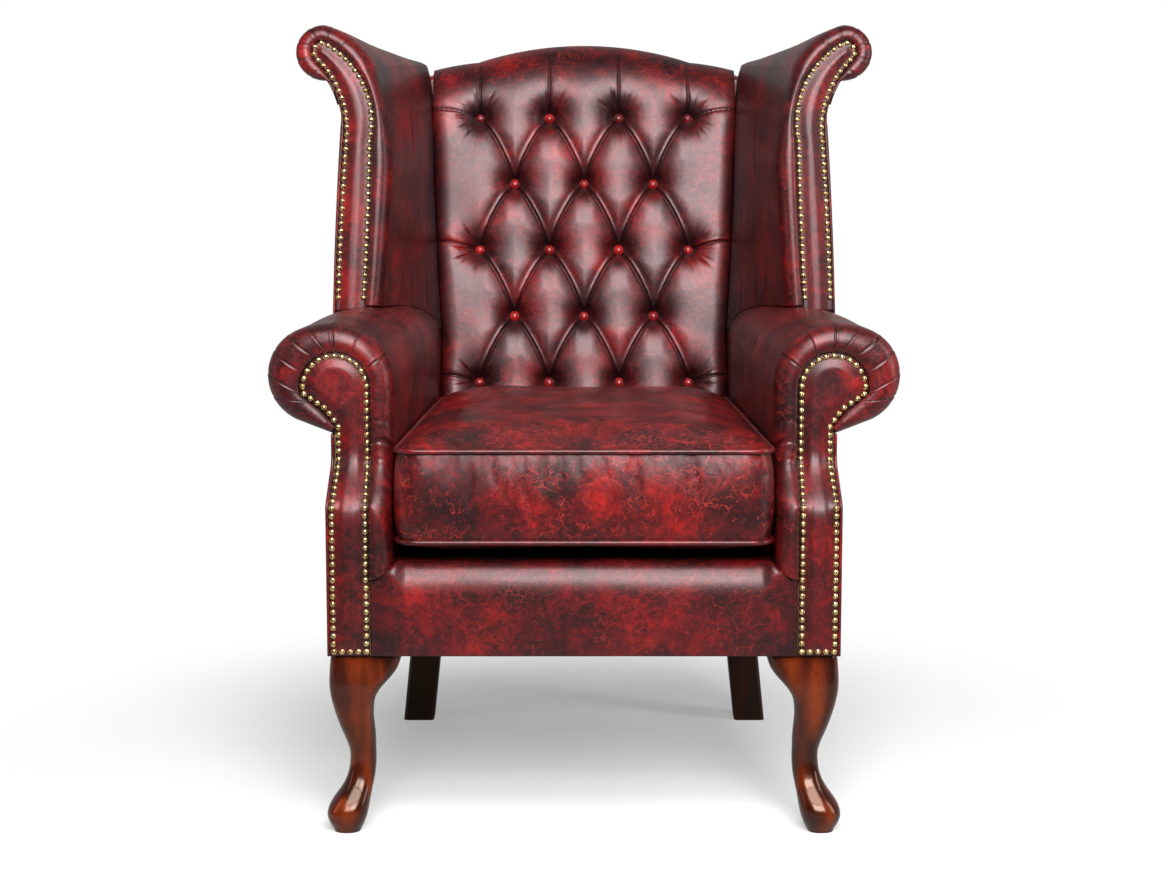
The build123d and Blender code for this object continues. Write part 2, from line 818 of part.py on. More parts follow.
def leg_bolt(x, y):
    """Bolt from inside the leg up through its corner block, with a head on the block."""
    with BuildPart() as bolt:
        with BuildSketch(Plane((x, y, leg_height - bolt_into_leg))):
            Circle(bolt_r)
        extrude(amount=bolt_into_leg + block_high)
        with BuildSketch(Plane((x, y, leg_height + block_high))):
            RegularPolygon(bolt_head_r, 6)
        extrude(amount=bolt_head_h)
    return bolt.part


os.makedirs("parts", exist_ok=True)

# Envelopes that several pieces share
with BuildPart() as arm_nosed:
    add(arm_body())
    fillet(nose_edges(arm_nosed), arm_nose_r)
arm_full = arm_nosed.part
arm_clear = arm_body(gap, gap, arm_pad_foot_z - gap)
arm_space = arm_body(-arm_pad_thick, -panel_thick, leg_height, facing_thick)
arm_core = arm_body(-arm_pad_thick - gap, -panel_thick - gap, rail_top_z, facing_thick)
with BuildPart() as wing_nosed:
    add(wing_body())
    fillet(wing_nose_edges(wing_nosed), wing_nose_r)
wing_full = wing_nosed.part
wing_clear = wing_body((gap, gap, gap), gap)
wing_space = wing_body((-wing_pad_thick, -wing_pad_mid, -wing_pad_rear), -panel_thick)
wing_core = wing_body((-wing_pad_thick - gap, -wing_pad_mid - gap, -wing_pad_rear - gap), -panel_thick - gap)
facing_clear = facing_block(nail_margin + gap, leg_height - overrun, -gap, facing_thick + gap)
post_half = post_wide / 2
post_x = arm_out_rear - panel_thick - post_in_wall - post_half
post_in = post_x - post_half
frame_deep = back_thick - back_panel_thick
side_y = front_y - 2 * overrun
side_end_y = rear_y + back_thick

# Seat frame
with BuildPart() as front_seat_rail:
    with BuildSketch(Plane.XY.offset(leg_height)):
        with BuildLine():
            half_front = arm_out_at(rail_front_y) - panel_thick
            half_back = arm_out_at(rail_back_y) - panel_thick
            Polyline(
                (-half_front, rail_front_y),
                (half_front, rail_front_y),
                (half_back, rail_back_y),
                (-half_back, rail_back_y),
                close=True,
            )
        make_face()
    extrude(amount=rail_high)
keep("front_seat_rail", front_seat_rail.part)

with BuildPart() as rear_seat_rail:
    add(leaning_slab(pad_plane, frame_deep - rail_thick, frame_deep, post_in, -lean_z, 0))
    split(bisect_by=Plane.XY.offset(leg_height), keep=Keep.TOP)
    split(bisect_by=Plane.XY.offset(rail_top_z), keep=Keep.BOTTOM)
keep("rear_seat_rail", rear_seat_rail.part)

with BuildPart() as side_seat_rail:
    add(side_board(rail_back_y, rear_y, leg_height, rail_top_z, panel_thick, side_rail_thick))
    split(bisect_by=pad_plane.offset(-gap), keep=Keep.TOP)
keep_pair("side_seat_rail", side_seat_rail.part)

with BuildPart() as back_post:
    add(leaning_slab(pad_plane, gap, frame_deep, post_half, -lean_z, post_top_up, post_x))
    split(bisect_by=Plane.XY.offset(leg_height), keep=Keep.TOP)
keep_pair("back_post", back_post.part)

post_clear = leaning_slab(pad_plane, 0, frame_deep + gap, post_half + gap, -lean_z, post_top_up + gap, post_x)
behind_pad = leaning_slab(pad_plane, pad_thick - gap, back_thick, post_in + gap, -lean_z, post_top_up + gap)


def side_rail_in(y):
    """Inner face of the side seat rail at y."""
    return arm_out_at(y) - panel_thick - side_rail_thick


front_block_y = rail_back_y
rear_block_y = back_y(leg_height, frame_deep - rail_thick)
front_block_end = front_block_y + block_leg
block_spots = [
    (side_rail_in(front_block_y + bolt_in_block) - bolt_in_block, front_block_y + bolt_in_block),
    (post_in - bolt_in_block, rear_block_y - bolt_in_block),
]

with BuildPart() as front_leg:
    add(cabriole_leg())
    with BuildSketch(Plane.XY.offset(leg_height - bolt_into_leg - gap)):
        with Locations(block_spots[0]):
            Circle(bolt_r + bolt_clearance)
    extrude(amount=bolt_into_leg + overrun, mode=Mode.SUBTRACT)
keep_pair("front_leg", front_leg.part)

with BuildPart() as rear_leg:
    add(raked_leg())
    with BuildSketch(Plane.XY.offset(leg_height - bolt_into_leg - gap)):
        with Locations(block_spots[1]):
            Circle(bolt_r + bolt_clearance)
    extrude(amount=bolt_into_leg + overrun, mode=Mode.SUBTRACT)
keep_pair("rear_leg", rear_leg.part)

with BuildPart() as corner_blocks:
    add(
        corner_block(
            (side_rail_in(front_block_y), front_block_y),
            (side_rail_in(front_block_end), front_block_end),
            (side_rail_in(front_block_y) - block_leg, front_block_y),
        )
    )
    add(
        corner_block(
            (post_in, rear_block_y), (post_in, rear_block_y - block_leg), (post_in - block_leg, rear_block_y)
        )
    )
    with BuildSketch(Plane.XY.offset(leg_height)):
        with Locations(*block_spots):
            Circle(bolt_r + bolt_clearance)
    extrude(amount=block_high, mode=Mode.SUBTRACT)
    mirror(about=Plane.YZ)
keep("corner_blocks", corner_blocks.part)

with BuildPart() as leg_bolts:
    for spot in block_spots:
        add(leg_bolt(*spot))
    mirror(about=Plane.YZ)
keep("leg_bolts", leg_bolts.part)

# Arm frame
with BuildPart() as arm_stump:
    add(arm_core)
    add(front_slab(facing_thick, facing_thick + stump_thick), mode=Mode.INTERSECT)
keep_pair("arm_stump", arm_stump.part)

stump_back_y = front_y + facing_thick + stump_thick
with BuildPart() as arm_top_rail:
    add(
        tapered_board(
            (stump_back_y + arm_set_back, arm_rail_front_in, arm_rail_front_out),
            (rear_y, arm_rail_rear_in, arm_rail_rear_out),
            arm_rail_low_z,
            arm_rail_low_z + arm_rail_high,
        )
    )
    add(arm_core, mode=Mode.INTERSECT)
    split(bisect_by=pad_plane.offset(-gap), keep=Keep.TOP)
keep_pair("arm_top_rail", arm_top_rail.part)

tack_front = arm_in_at(stump_back_y) + arm_pad_thick + gap
tack_rear = arm_in_at(rear_y) + arm_pad_thick + gap
with BuildPart() as arm_tacking_rail:
    add(
        tapered_board(
            (stump_back_y, tack_front, tack_front + arm_tack_wide),
            (rear_y, tack_rear, tack_rear + arm_tack_wide),
            arm_tack_z,
            arm_tack_z + arm_tack_high,
        )
    )
    split(bisect_by=pad_plane.offset(-gap), keep=Keep.TOP)
keep_pair("arm_tacking_rail", arm_tacking_rail.part)

# Wing frame
wing_post_near = wing_plane.offset(-facing_thick)
wing_post_far = wing_post_near.offset(-wing_post_thick)
with BuildPart() as wing_post:
    add(wing_core)
    split(bisect_by=wing_post_near, keep=Keep.BOTTOM)
    split(bisect_by=wing_post_far, keep=Keep.TOP)
    split(bisect_by=Plane.XY.offset(arm_rail_low_z + arm_rail_high), keep=Keep.TOP)
keep_pair("wing_post", wing_post.part)

with BuildPart() as wing_post_clear:
    add(wing_space)
    split(bisect_by=wing_post_near, keep=Keep.BOTTOM)
    split(bisect_by=wing_post_far.offset(-gap), keep=Keep.TOP)

rail_low = Plane.XY.offset(lean_z + wing_rail_up)
with BuildPart() as wing_top_rail:
    add(wing_core)
    split(bisect_by=wing_post_far, keep=Keep.BOTTOM)
    split(bisect_by=pad_plane.offset(-gap), keep=Keep.TOP)
    split(bisect_by=rail_low, keep=Keep.TOP)
    split(bisect_by=rail_low.offset(wing_rail_high), keep=Keep.BOTTOM)
keep_pair("wing_top_rail", wing_top_rail.part)

# Back frame
crest_low_up = up_back(shoulder_z) - crest_wrap - crest_rail_deep
with BuildPart() as crest_room:
    add(leaning_slab(pad_plane, 0, frame_deep, join_waist_x - gap, -lean_z, crest_z))
    add(leaning_slab(pad_plane, 0, frame_deep, post_in, -lean_z, post_top_up))

with BuildPart() as crest_rail:
    with BuildSketch(post_plane):
        add(crest_outline(crest_wrap + gap, crest_low_up))
        make_face()
    extrude(amount=pad_thick + webbing_thick - frame_deep)
    add(crest_room.part, mode=Mode.INTERSECT)
keep("crest_rail", crest_rail.part)

webbing_back = pad_thick + webbing_thick
tacking_rail_top = tacking_rail_up + tacking_rail_high
with BuildPart() as back_tacking_rail:
    add(leaning_slab(pad_plane, webbing_back, frame_deep, post_in, tacking_rail_up, tacking_rail_top))
keep("back_tacking_rail", back_tacking_rail.part)

web_low = tacking_rail_up
web_high = crest_low_up + webbing_wide
with BuildPart() as back_webbing:
    with BuildSketch(web_plane):
        with Locations((0, (web_low + web_high) / 2)):
            with GridLocations(button_step_x, 0, web_columns, 1):
                Rectangle(webbing_wide, web_high - web_low)
        with Locations((0, (web_low + web_high) / 2)):
            with GridLocations(0, button_step_up, 1, web_rows):
                Rectangle(2 * post_in, webbing_wide)
    extrude(amount=-webbing_thick)
keep("back_webbing", back_webbing.part)

# Seat suspension
front_clip_y = rail_front_y + spring_end_in
rear_clip_y = back_y(rail_top_z, frame_deep) - spring_end_in
spring_xs = [spring_step_x * (i - (spring_count - 1) / 2) for i in range(spring_count)]
clip_hold = clip_thick + gap + spring_wire_r
with BuildPart() as spring_clips:
    for x in spring_xs:
        with Locations((x, 0)):
            add(clip(front_clip_y, 1))
            add(clip(rear_clip_y, -1))
keep("spring_clips", spring_clips.part)

with BuildPart() as seat_springs:
    for x in spring_xs:
        add(zigzag_spring(x, front_clip_y + clip_hold, rear_clip_y - clip_hold))
keep("seat_springs", seat_springs.part)


def between_arms(y0, y1, z0, z1):
    """Level board that fills the width between the arms' inner faces."""
    with BuildPart() as board:
        with BuildSketch(Plane.XY.offset(z0)):
            with BuildLine():
                half_0 = arm_in_at(y0) - gap
                half_1 = arm_in_at(y1) - gap
                Polyline((-half_0, y0), (half_0, y0), (half_1, y1), (-half_1, y1), close=True)
            make_face()
        extrude(amount=z1 - z0)
    return board.part


keep("spring_hessian", between_arms(rail_front_y, back_y(rail_top_z, frame_deep), hessian_z, deck_low_z))

with BuildPart() as seat_platform:
    add(between_arms(front_y + deck_set_back + gap, rear_y, deck_low_z, deck_top_z))
    split(bisect_by=pad_plane.offset(gap), keep=Keep.TOP)
keep("seat_platform", seat_platform.part)

with BuildPart() as dust_cover:
    with BuildSketch(Plane.XY.offset(leg_height - dust_thick)):
        with BuildLine():
            dust_end = back_y(leg_height, frame_deep)
            half_front = arm_out_at(rail_front_y) - 2 * panel_thick
            half_back = arm_out_at(dust_end) - 2 * panel_thick
            Polyline(
                (-half_front, rail_front_y),
                (half_front, rail_front_y),
                (half_back, dust_end),
                (-half_back, dust_end),
                close=True,
            )
        make_face()
        for way in (-1, 1):
            with Locations((way * (leg_out_x - leg_block / 2), front_y + leg_block / 2)):
                Rectangle(leg_block + 2 * gap, leg_block + 2 * gap, mode=Mode.SUBTRACT)
            with Locations((way * rear_leg_x, front_y + rear_leg_set_back)):
                Rectangle(rear_leg_wide + dust_thick, rear_leg_wide + dust_thick, mode=Mode.SUBTRACT)
    extrude(amount=dust_thick)
keep("dust_cover", dust_cover.part)

# Front border
with BuildPart() as front_border:
    with BuildSketch(Plane.YZ):
        with BuildLine():
            shoulder = border_top_z - border_shoulder_r
            Polyline(
                (front_y + border_shoulder_r, border_top_z),
                (front_y + deck_set_back, border_top_z),
                (front_y + deck_set_back, deck_low_z),
                (rail_front_y, deck_low_z),
                (rail_front_y, leg_height),
                (front_y, leg_height),
                (front_y, shoulder),
            )
            RadiusArc((front_y, shoulder), (front_y + border_shoulder_r, border_top_z), border_shoulder_r)
        make_face()
    extrude(amount=border_half, both=True)
    add(arm_clear, mode=Mode.SUBTRACT)
    add(mirror(arm_clear, about=Plane.YZ, mode=Mode.PRIVATE), mode=Mode.SUBTRACT)
keep("front_border", front_border.part)

# Arms
keep_pair("arm_facing", facing_block(nail_margin, leg_height, 0, facing_thick))

with BuildPart() as arm_outside_panel:
    add(side_board(side_y, side_end_y, leg_height, neck_z, 0, panel_thick))
    add(front_slab(-arm_set_back - 2 * overrun, 0), mode=Mode.SUBTRACT)
    split(bisect_by=panel_plane, keep=Keep.TOP)
keep_pair("arm_outside_panel", arm_outside_panel.part)

with BuildPart() as arm_hollow:
    add(arm_space)
    split(bisect_by=panel_plane.offset(arm_cap_thick), keep=Keep.TOP)

with BuildPart() as arm_pad:
    add(arm_full)
    add(arm_hollow.part, mode=Mode.SUBTRACT)
    add(facing_clear, mode=Mode.SUBTRACT)
    add(
        side_board(side_y, side_end_y, leg_height, neck_z + gap, -overrun, panel_thick + overrun + gap),
        mode=Mode.SUBTRACT,
    )
    add(post_clear, mode=Mode.SUBTRACT)
    add(behind_pad, mode=Mode.SUBTRACT)
    add(wing_post_clear.part, mode=Mode.SUBTRACT)
    split(bisect_by=panel_plane, keep=Keep.TOP)
keep_pair("arm_pad", arm_pad.part)


def arm_surface(point):
    """Point of the arm's front surface from a point of its outline."""
    return Vector(point.X, front_y + front_set_back(point.Y)[0], point.Y)


def arm_nail_plane(spot):
    """Plane of the arm's front surface at a nail."""
    slope = front_set_back(spot.Z)[1]
    return Plane(origin=spot, z_dir=(0, -cos(slope), sin(slope)))


arm_nail_spots = even_spots(facing_outline(0, leg_height + foot_nail_up), nail_pitch, arm_surface, True)
keep_pair("arm_nails", nails([arm_nail_plane(spot) for spot in arm_nail_spots]))

# Wings
with BuildPart() as wing_facing:
    with BuildSketch(wing_plane):
        with BuildLine():
            add(wing_nail_line())
            Line((wing_nail_in_foot, wing_foot), (wing_nail_out_foot, wing_foot))
        make_face()
        offset(amount=nail_margin)
    extrude(amount=-facing_thick)
    add(arm_clear, mode=Mode.SUBTRACT)
keep_pair("wing_facing", wing_facing.part)

with BuildPart() as wing_facing_clear:
    with BuildSketch(wing_plane.offset(gap)):
        with BuildLine():
            add(wing_nail_line())
            Line((wing_nail_in_foot, wing_foot), (wing_nail_out_foot, wing_foot))
        make_face()
        offset(amount=nail_margin + gap)
    extrude(amount=-facing_thick - 2 * gap)

with BuildPart() as wing_hollow:
    add(wing_space)
    split(bisect_by=wing_post_near, keep=Keep.BOTTOM)

with BuildPart() as wing_shell:
    add(wing_full)
    add(wing_facing_clear.part, mode=Mode.SUBTRACT)
    add(wing_hollow.part, mode=Mode.SUBTRACT)
    add(arm_clear, mode=Mode.SUBTRACT)
    split(bisect_by=panel_plane, keep=Keep.TOP)


def outer_block(grow):
    """Space outside the line in plan that parts the wing's pad from its outside panel."""
    front = front_y + wing_set_back - 2 * overrun
    middle = back_y(lean_z + wing_panel_up / 2)
    rear = back_y(lean_z + wing_panel_up, back_thick) + overrun
    with BuildPart() as block:
        with BuildSketch(Plane.XY.offset(lean_z - overrun)):
            with BuildLine():
                Polyline(
                    (wing_split_front - grow, front),
                    (wing_split_mid - grow, middle),
                    (wing_split_rear - grow, rear),
                    (arm_reach, rear),
                    (arm_reach, front),
                    close=True,
                )
            make_face()
        extrude(amount=overrun + wing_panel_up + grow)
    return block.part


with BuildPart() as wing_outside_panel:
    add(wing_shell.part)
    add(outer_block(0), mode=Mode.INTERSECT)
keep_pair("wing_outside_panel", wing_outside_panel.part)

with BuildPart() as wing_pad:
    add(wing_shell.part)
    add(outer_block(gap), mode=Mode.SUBTRACT)
    add(post_clear, mode=Mode.SUBTRACT)
    add(behind_pad, mode=Mode.SUBTRACT)
keep_pair("wing_pad", wing_pad.part)

wing_spots = even_spots(wing_nail_line(), nail_pitch, wing_plane.from_local_coords, False)
wing_spots = [spot for spot in wing_spots if spot.Z > arm_top_z + nail_head_r]
keep_pair("wing_nails", nails([Plane(origin=spot, z_dir=wing_plane.z_dir) for spot in wing_spots]))


def crest_edges(body):
    """Front edges of the crest's curves."""
    found = []
    for edge in body.edges():
        spots = [pad_plane.to_local_coords(edge @ place) for place in (0, 0.5, 1)]
        on_front = max(abs(spot.Z) for spot in spots) < gap
        if on_front and min(spot.Y for spot in spots) > up_back(crest_end_z) - gap:
            found.append(edge)
    return found


# Back pad with its tufts
with BuildPart() as back_pad:
    with BuildSketch(pad_plane):
        add(crest_outline(0, -lean_z))
        make_face()
    extrude(amount=-frame_deep)
    fillet(crest_edges(back_pad), crest_nose_r)
    with BuildSketch(web_plane):
        add(crest_outline(crest_wrap, -lean_z))
        make_face()
    extrude(amount=-back_thick, mode=Mode.SUBTRACT)
    split(bisect_by=Plane.XY.offset(deck_low_z), keep=Keep.TOP)
    add(wing_clear, mode=Mode.SUBTRACT)
    add(arm_clear, mode=Mode.SUBTRACT)
    add(mirror(wing_clear, about=Plane.YZ, mode=Mode.PRIVATE), mode=Mode.SUBTRACT)
    add(mirror(arm_clear, about=Plane.YZ, mode=Mode.PRIVATE), mode=Mode.SUBTRACT)
    for start, end in pleat_runs():
        add(pleat_cutter(start, end), mode=Mode.SUBTRACT)
    tuft_deep = button_sink + overrun
    flare = (tuft_r - tuft_floor_r) / button_sink
    tuft_middle = (overrun - button_sink) / 2
    with Locations(*[pad_plane.location * Location((x, up, tuft_middle)) for x, up in button_spots()]):
        Cone(tuft_floor_r, tuft_floor_r + flare * tuft_deep, tuft_deep, mode=Mode.SUBTRACT)
    with Locations(*[pad_plane.location * Location((x, up, -button_sink)) for x, up in button_spots()]):
        Cylinder(button_shank_r + gap, 2 * (button_shank_l + gap), mode=Mode.SUBTRACT)
keep("back_pad", back_pad.part)

with BuildPart() as button:
    with BuildSketch(Plane.XZ):
        with BuildLine():
            RadiusArc((button_r, 0), (0, button_h), -(button_r**2 + button_h**2) / (2 * button_h))
            Polyline(
                (0, button_h),
                (0, -button_shank_l),
                (button_shank_r, -button_shank_l),
                (button_shank_r, 0),
                (button_r, 0),
            )
        make_face()
    revolve(axis=Axis.Z)
with BuildPart() as back_buttons:
    with Locations(*[pad_plane.location * Location((x, up, -button_sink)) for x, up in button_spots()]):
        add(button.part)
keep("back_buttons", back_buttons.part)

with BuildPart() as back_outside_panel:
    with BuildSketch(frame_plane):
        add(crest_outline(0, -lean_z))
        make_face()
        with Locations((0, (rear_scroll_up - lean_z) / 2)):
            Rectangle(2 * arm_out_rear, rear_scroll_up + lean_z)
        with Locations((rear_scroll_x, rear_scroll_up), (-rear_scroll_x, rear_scroll_up)):
            Circle(rear_scroll_r)
    extrude(amount=back_panel_thick)
    split(bisect_by=Plane.XY.offset(leg_height), keep=Keep.TOP)
keep("back_outside_panel", back_outside_panel.part)

# Loose seat cushion
with BuildPart() as cushion_cover:
    add(cushion_form(0))
    add(cushion_form(cushion_skin), mode=Mode.SUBTRACT)
    for z in (cushion_seam_low_z, cushion_seam_top_z):
        add(welt(z, welt_r + gap), mode=Mode.SUBTRACT)
keep("cushion_cover", cushion_cover.part)

with BuildPart() as cushion_core:
    add(cushion_form(cushion_skin + gap))
    for z in (cushion_seam_low_z, cushion_seam_top_z):
        add(welt(z, welt_r + gap), mode=Mode.SUBTRACT)
keep("cushion_core", cushion_core.part)
keep("cushion_welt_low", welt(cushion_seam_low_z, welt_r))
keep("cushion_welt_top", welt(cushion_seam_top_z, welt_r))
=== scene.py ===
from math import cos, radians, sin, tan

import bmesh
import bpy
import numpy as np
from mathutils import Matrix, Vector


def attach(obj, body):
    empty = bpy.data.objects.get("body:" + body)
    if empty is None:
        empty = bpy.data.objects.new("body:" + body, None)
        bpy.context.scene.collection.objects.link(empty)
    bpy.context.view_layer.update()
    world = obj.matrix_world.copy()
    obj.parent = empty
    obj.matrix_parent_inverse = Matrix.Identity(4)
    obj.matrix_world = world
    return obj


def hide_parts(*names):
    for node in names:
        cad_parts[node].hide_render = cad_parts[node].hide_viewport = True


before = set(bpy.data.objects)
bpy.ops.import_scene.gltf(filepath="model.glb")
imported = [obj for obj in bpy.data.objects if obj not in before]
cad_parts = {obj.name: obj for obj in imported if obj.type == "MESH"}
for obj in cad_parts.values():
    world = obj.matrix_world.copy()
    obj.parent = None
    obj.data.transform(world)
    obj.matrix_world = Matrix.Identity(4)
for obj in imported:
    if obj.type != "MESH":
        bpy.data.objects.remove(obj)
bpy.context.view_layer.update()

# The looks of a deep-buttoned wing armchair in antiqued oxblood leather.
# Shapes are worked out in millimetres in the row frame and put into meshes in metres.
MM = 0.001
MIRROR = np.array([-1.0, 1.0, 1.0])

# Sizes of the chair, as its solids have them
FRONT_Y = -391.0
LEG_HEIGHT = 237.0
BOX_DEPTH = 690.0
LEAN_Z = 600.0
WING_SET_BACK = 330.0
WING_LEAN = radians(8.0)
PAD_SET_BACK = 603.0
BACK_LEAN = radians(12.0)
BACK_THICK = 95.0
PAD_THICK = 62.0
BACK_PANEL_THICK = 4.0
GAP = 0.3

SEAT_HALF_FRONT = 246.5
SEAT_HALF_REAR = 214.0
ARM_OUT_FRONT = 329.5
ARM_OUT_REAR = 272.0
ARM_TOP_Z = 660.0
INNER_ROLL = (82.0, 62.0)
CROWN_R = 118.0
CROWN_TURN = 22.0
OUTER_ROLL_R = 63.0
OUTER_TURN = 133.0
NECK_Z = 518.0
ARM_FOOT_Z = 336.0
SWEEP_LOW_Z = 432.0
SWEEP_HIGH_Z = 482.0
ARM_SET_BACK = 45.0
SWEEP_LOW_R = 12.0
SWEEP_HIGH_R = 30.0

# The facings' edges lie this far outside their nail lines
NAIL_MARGIN = 4.2
HEAD = (320.0, 578.0)
HEAD_R = 41.0
FACING_R = HEAD_R + NAIL_MARGIN
FACING_UNDER = (331.0 + NAIL_MARGIN, 551.0 - NAIL_MARGIN)
FACING_NECK = (315.5 + NAIL_MARGIN, 528.0)
FACING_FOOT_X = 321.0 + NAIL_MARGIN

CREST_TOP = (0.0, 1043.0)
CREST_SHOULDER = (168.0, 1017.0)
CREST_BEND = (203.5, 1012.5)
CREST_END = (239.0, 1005.0)
WING_ROOT_UP = (0.0, 120.0, 263.0, 350.0, 410.0, 470.0)
WING_ROOT_HALF = (215.5, 223.0, 228.5, 234.0, 239.0, 239.0)

BUTTON_STEP_X = 106.0
BUTTON_STEP_UP = 101.7
BUTTON_LOW_UP = -75.0
BUTTON_ROWS = 5
BUTTON_TOP_UP = BUTTON_LOW_UP + (BUTTON_ROWS - 1) * BUTTON_STEP_UP
BUTTON_SINK = 21.0
PLEAT_BOW = 5.4
SIDE_PLEAT_X = 260.0
SIDE_PLEAT_RISE = 12.0
SIDE_PLEAT_BOW = 5.0

DECK_TOP_Z = 372.0
DECK_SET_BACK = 61.0
BORDER_TOP_Z = 360.0
BORDER_HALF = 273.5

CUSHION_FRONT = 8.0
CUSHION_REAR_GAP = 6.0
CUSHION_GAP = 1.5
CUSHION_MIDDLE_Y = -78.0
SEAM_LOW_Z = 386.0
SEAM_TOP_Z = 503.0
CUSHION_CROWN = 22.0
CUSHION_CORNER_R = 26.0
CUSHION_FRAMES = 20
WELT_R = 4.0

# Where the legs stand in the way of the cloth under the seat
FRONT_LEG_IN_X = 233.4
FRONT_LEG_BACK_Y = FRONT_Y + 101.0
REAR_LEG_IN_X = 204.0
REAR_LEG_FRONT_Y = FRONT_Y + 557.0

# Studio: where the floor starts to blend into the backdrop and where it is white, in metres, its share of
# the backdrop's white near the chair, how much of it polish shows, and the room's light
FLOOR_PLAIN = 0.35
FLOOR_WHITE = 1.0
FLOOR_GLOW = 0.35
POLISH_SHARE = 0.4
ROOM_LIGHT = 0.05


# Curves and planes
def line(a, b, count):
    """Evenly spaced points on the straight line from a to b."""
    t = np.linspace(0, 1, count)[:, None]
    return np.array(a, float) * (1 - t) + np.array(b, float) * t


def circle_arc(centre, radius, start, end, count):
    """Points on a circle arc: the centre plus radius times (cosine, sine) of the angle, in degrees."""
    t = np.radians(np.linspace(start, end, count))
    return np.array(centre, float) + radius * np.stack([np.cos(t), np.sin(t)], 1)


def arc_through(a, b, c, count):
    """Points on the circle arc that starts at a, passes b and ends at c."""
    a, b, c = (np.array(p, float) for p in (a, b, c))
    ab = b - a
    ac = c - a
    twice = 2 * (ab[0] * ac[1] - ab[1] * ac[0])
    lift_x = ac[1] * (ab @ ab) - ab[1] * (ac @ ac)
    lift_y = ab[0] * (ac @ ac) - ac[0] * (ab @ ab)
    lift = np.array([lift_x, lift_y]) / twice
    centre = a + lift
    start = np.degrees(np.arctan2(*(a - centre)[::-1]))
    end = np.degrees(np.arctan2(*(c - centre)[::-1]))
    turn = (end - start) % 360 if twice > 0 else -((start - end) % 360)
    return circle_arc(centre, np.linalg.norm(lift), start, start + turn, count)


def chain(*runs):
    """One run of points from several that share their ends."""
    return np.concatenate([runs[0]] + [run[1:] for run in runs[1:]])


def run_length(points):
    """Distance along a run of points, from its start to each of them."""
    return np.concatenate([[0], np.cumsum(np.linalg.norm(np.diff(points, axis=0), axis=1))])


def spread(points, count, along=None):
    """Points at even steps along a run, or along the run that it lies opposite to, by interpolation."""
    along = run_length(points) if along is None else along
    want = np.linspace(0, along[-1], count)
    return np.stack([np.interp(want, along, values) for values in points.T], 1)


def paired(count, first, *others):
    """The first run spaced evenly, and the others still point for point opposite it."""
    return [spread(run, count, run_length(first)) for run in (first, *others)]


def nearest(points, spot):
    """Index of the point nearest to a spot."""
    return int(np.argmin(np.linalg.norm(points - np.array(spot), axis=1)))


def smooth(t):
    """Smooth step: 3 t squared minus 2 t cubed, with t held between 0 and 1."""
    t = np.clip(t, 0, 1)
    return t * t * (3 - 2 * t)


def hump(distance, width):
    """Bell curve: e to the minus square of distance over width."""
    return np.exp(-((distance / width) ** 2))


def smooth_run(points, rounds):
    """A run of points with each moved half-way to the mean of its neighbours, ends kept."""
    out = points.copy()
    for _ in range(rounds):
        out[1:-1] += 0.5 * ((out[:-2] + out[2:]) / 2 - out[1:-1])
    return out


def joined(x, y, z):
    """Points from three arrays of coordinates, stretched to one shape."""
    return np.stack(np.broadcast_arrays(x, y, z), -1)


def on_plane(set_back, lean, x, up, out):
    """Points in the row frame from x, height up a leaning plane and distance out in front of it."""
    y = FRONT_Y + set_back + up * sin(lean) - out * cos(lean)
    z = LEAN_Z + up * cos(lean) + out * sin(lean)
    return joined(x, y, z)


def on_back(x, up, out):
    """Points on the plane of the back."""
    return on_plane(PAD_SET_BACK, BACK_LEAN, x, up, out)


def on_wing(x, up, out):
    """Points on the plane of the wings' fronts."""
    return on_plane(WING_SET_BACK, WING_LEAN, x, up, out)


def arm_in_at(y):
    """Inner face of an arm at y."""
    return SEAT_HALF_FRONT - (y - FRONT_Y) * (SEAT_HALF_FRONT - SEAT_HALF_REAR) / BOX_DEPTH


def arm_out_at(y):
    """Outer face of an arm's wall at y."""
    return ARM_OUT_FRONT - (y - FRONT_Y) * (ARM_OUT_FRONT - ARM_OUT_REAR) / BOX_DEPTH


def back_y(z, behind=0.0):
    """Where a plane this far behind the back's front is at height z."""
    return FRONT_Y + PAD_SET_BACK + (z - LEAN_Z) * tan(BACK_LEAN) + behind / cos(BACK_LEAN)


def panel_y(z):
    """Front of the panel behind the back, at height z."""
    return back_y(z, BACK_THICK - BACK_PANEL_THICK)


def front_set_back(z):
    """Set-back of the arm's front at height z: an S of two arcs and the straight run between them."""
    slope = np.arctan2(ARM_SET_BACK, SWEEP_HIGH_Z - SWEEP_LOW_Z)
    turn = np.linspace(0, slope, 12)
    low_z = SWEEP_LOW_Z - SWEEP_LOW_R * tan(slope / 2)
    high_z = SWEEP_HIGH_Z + SWEEP_HIGH_R * tan(slope / 2)
    low_back = SWEEP_LOW_R * (1 - np.cos(turn))
    high_back = ARM_SET_BACK - SWEEP_HIGH_R * (1 - np.cos(turn))
    up = np.concatenate([low_z + SWEEP_LOW_R * np.sin(turn), (high_z - SWEEP_HIGH_R * np.sin(turn))[::-1]])
    return np.interp(z, up, np.concatenate([low_back, high_back[::-1]]))


def eased_set_back(z, share):
    """The same set-back, shared with its average over some 30 mm, as stuffing bridges the two bends."""
    steps = np.linspace(-30.0, 30.0, 31)
    weight = hump(steps, 16.0)
    sharp = front_set_back(z)
    eased = (front_set_back(np.asarray(z)[..., None] + steps) * weight).sum(-1) / weight.sum()
    return sharp + (eased - sharp) * share


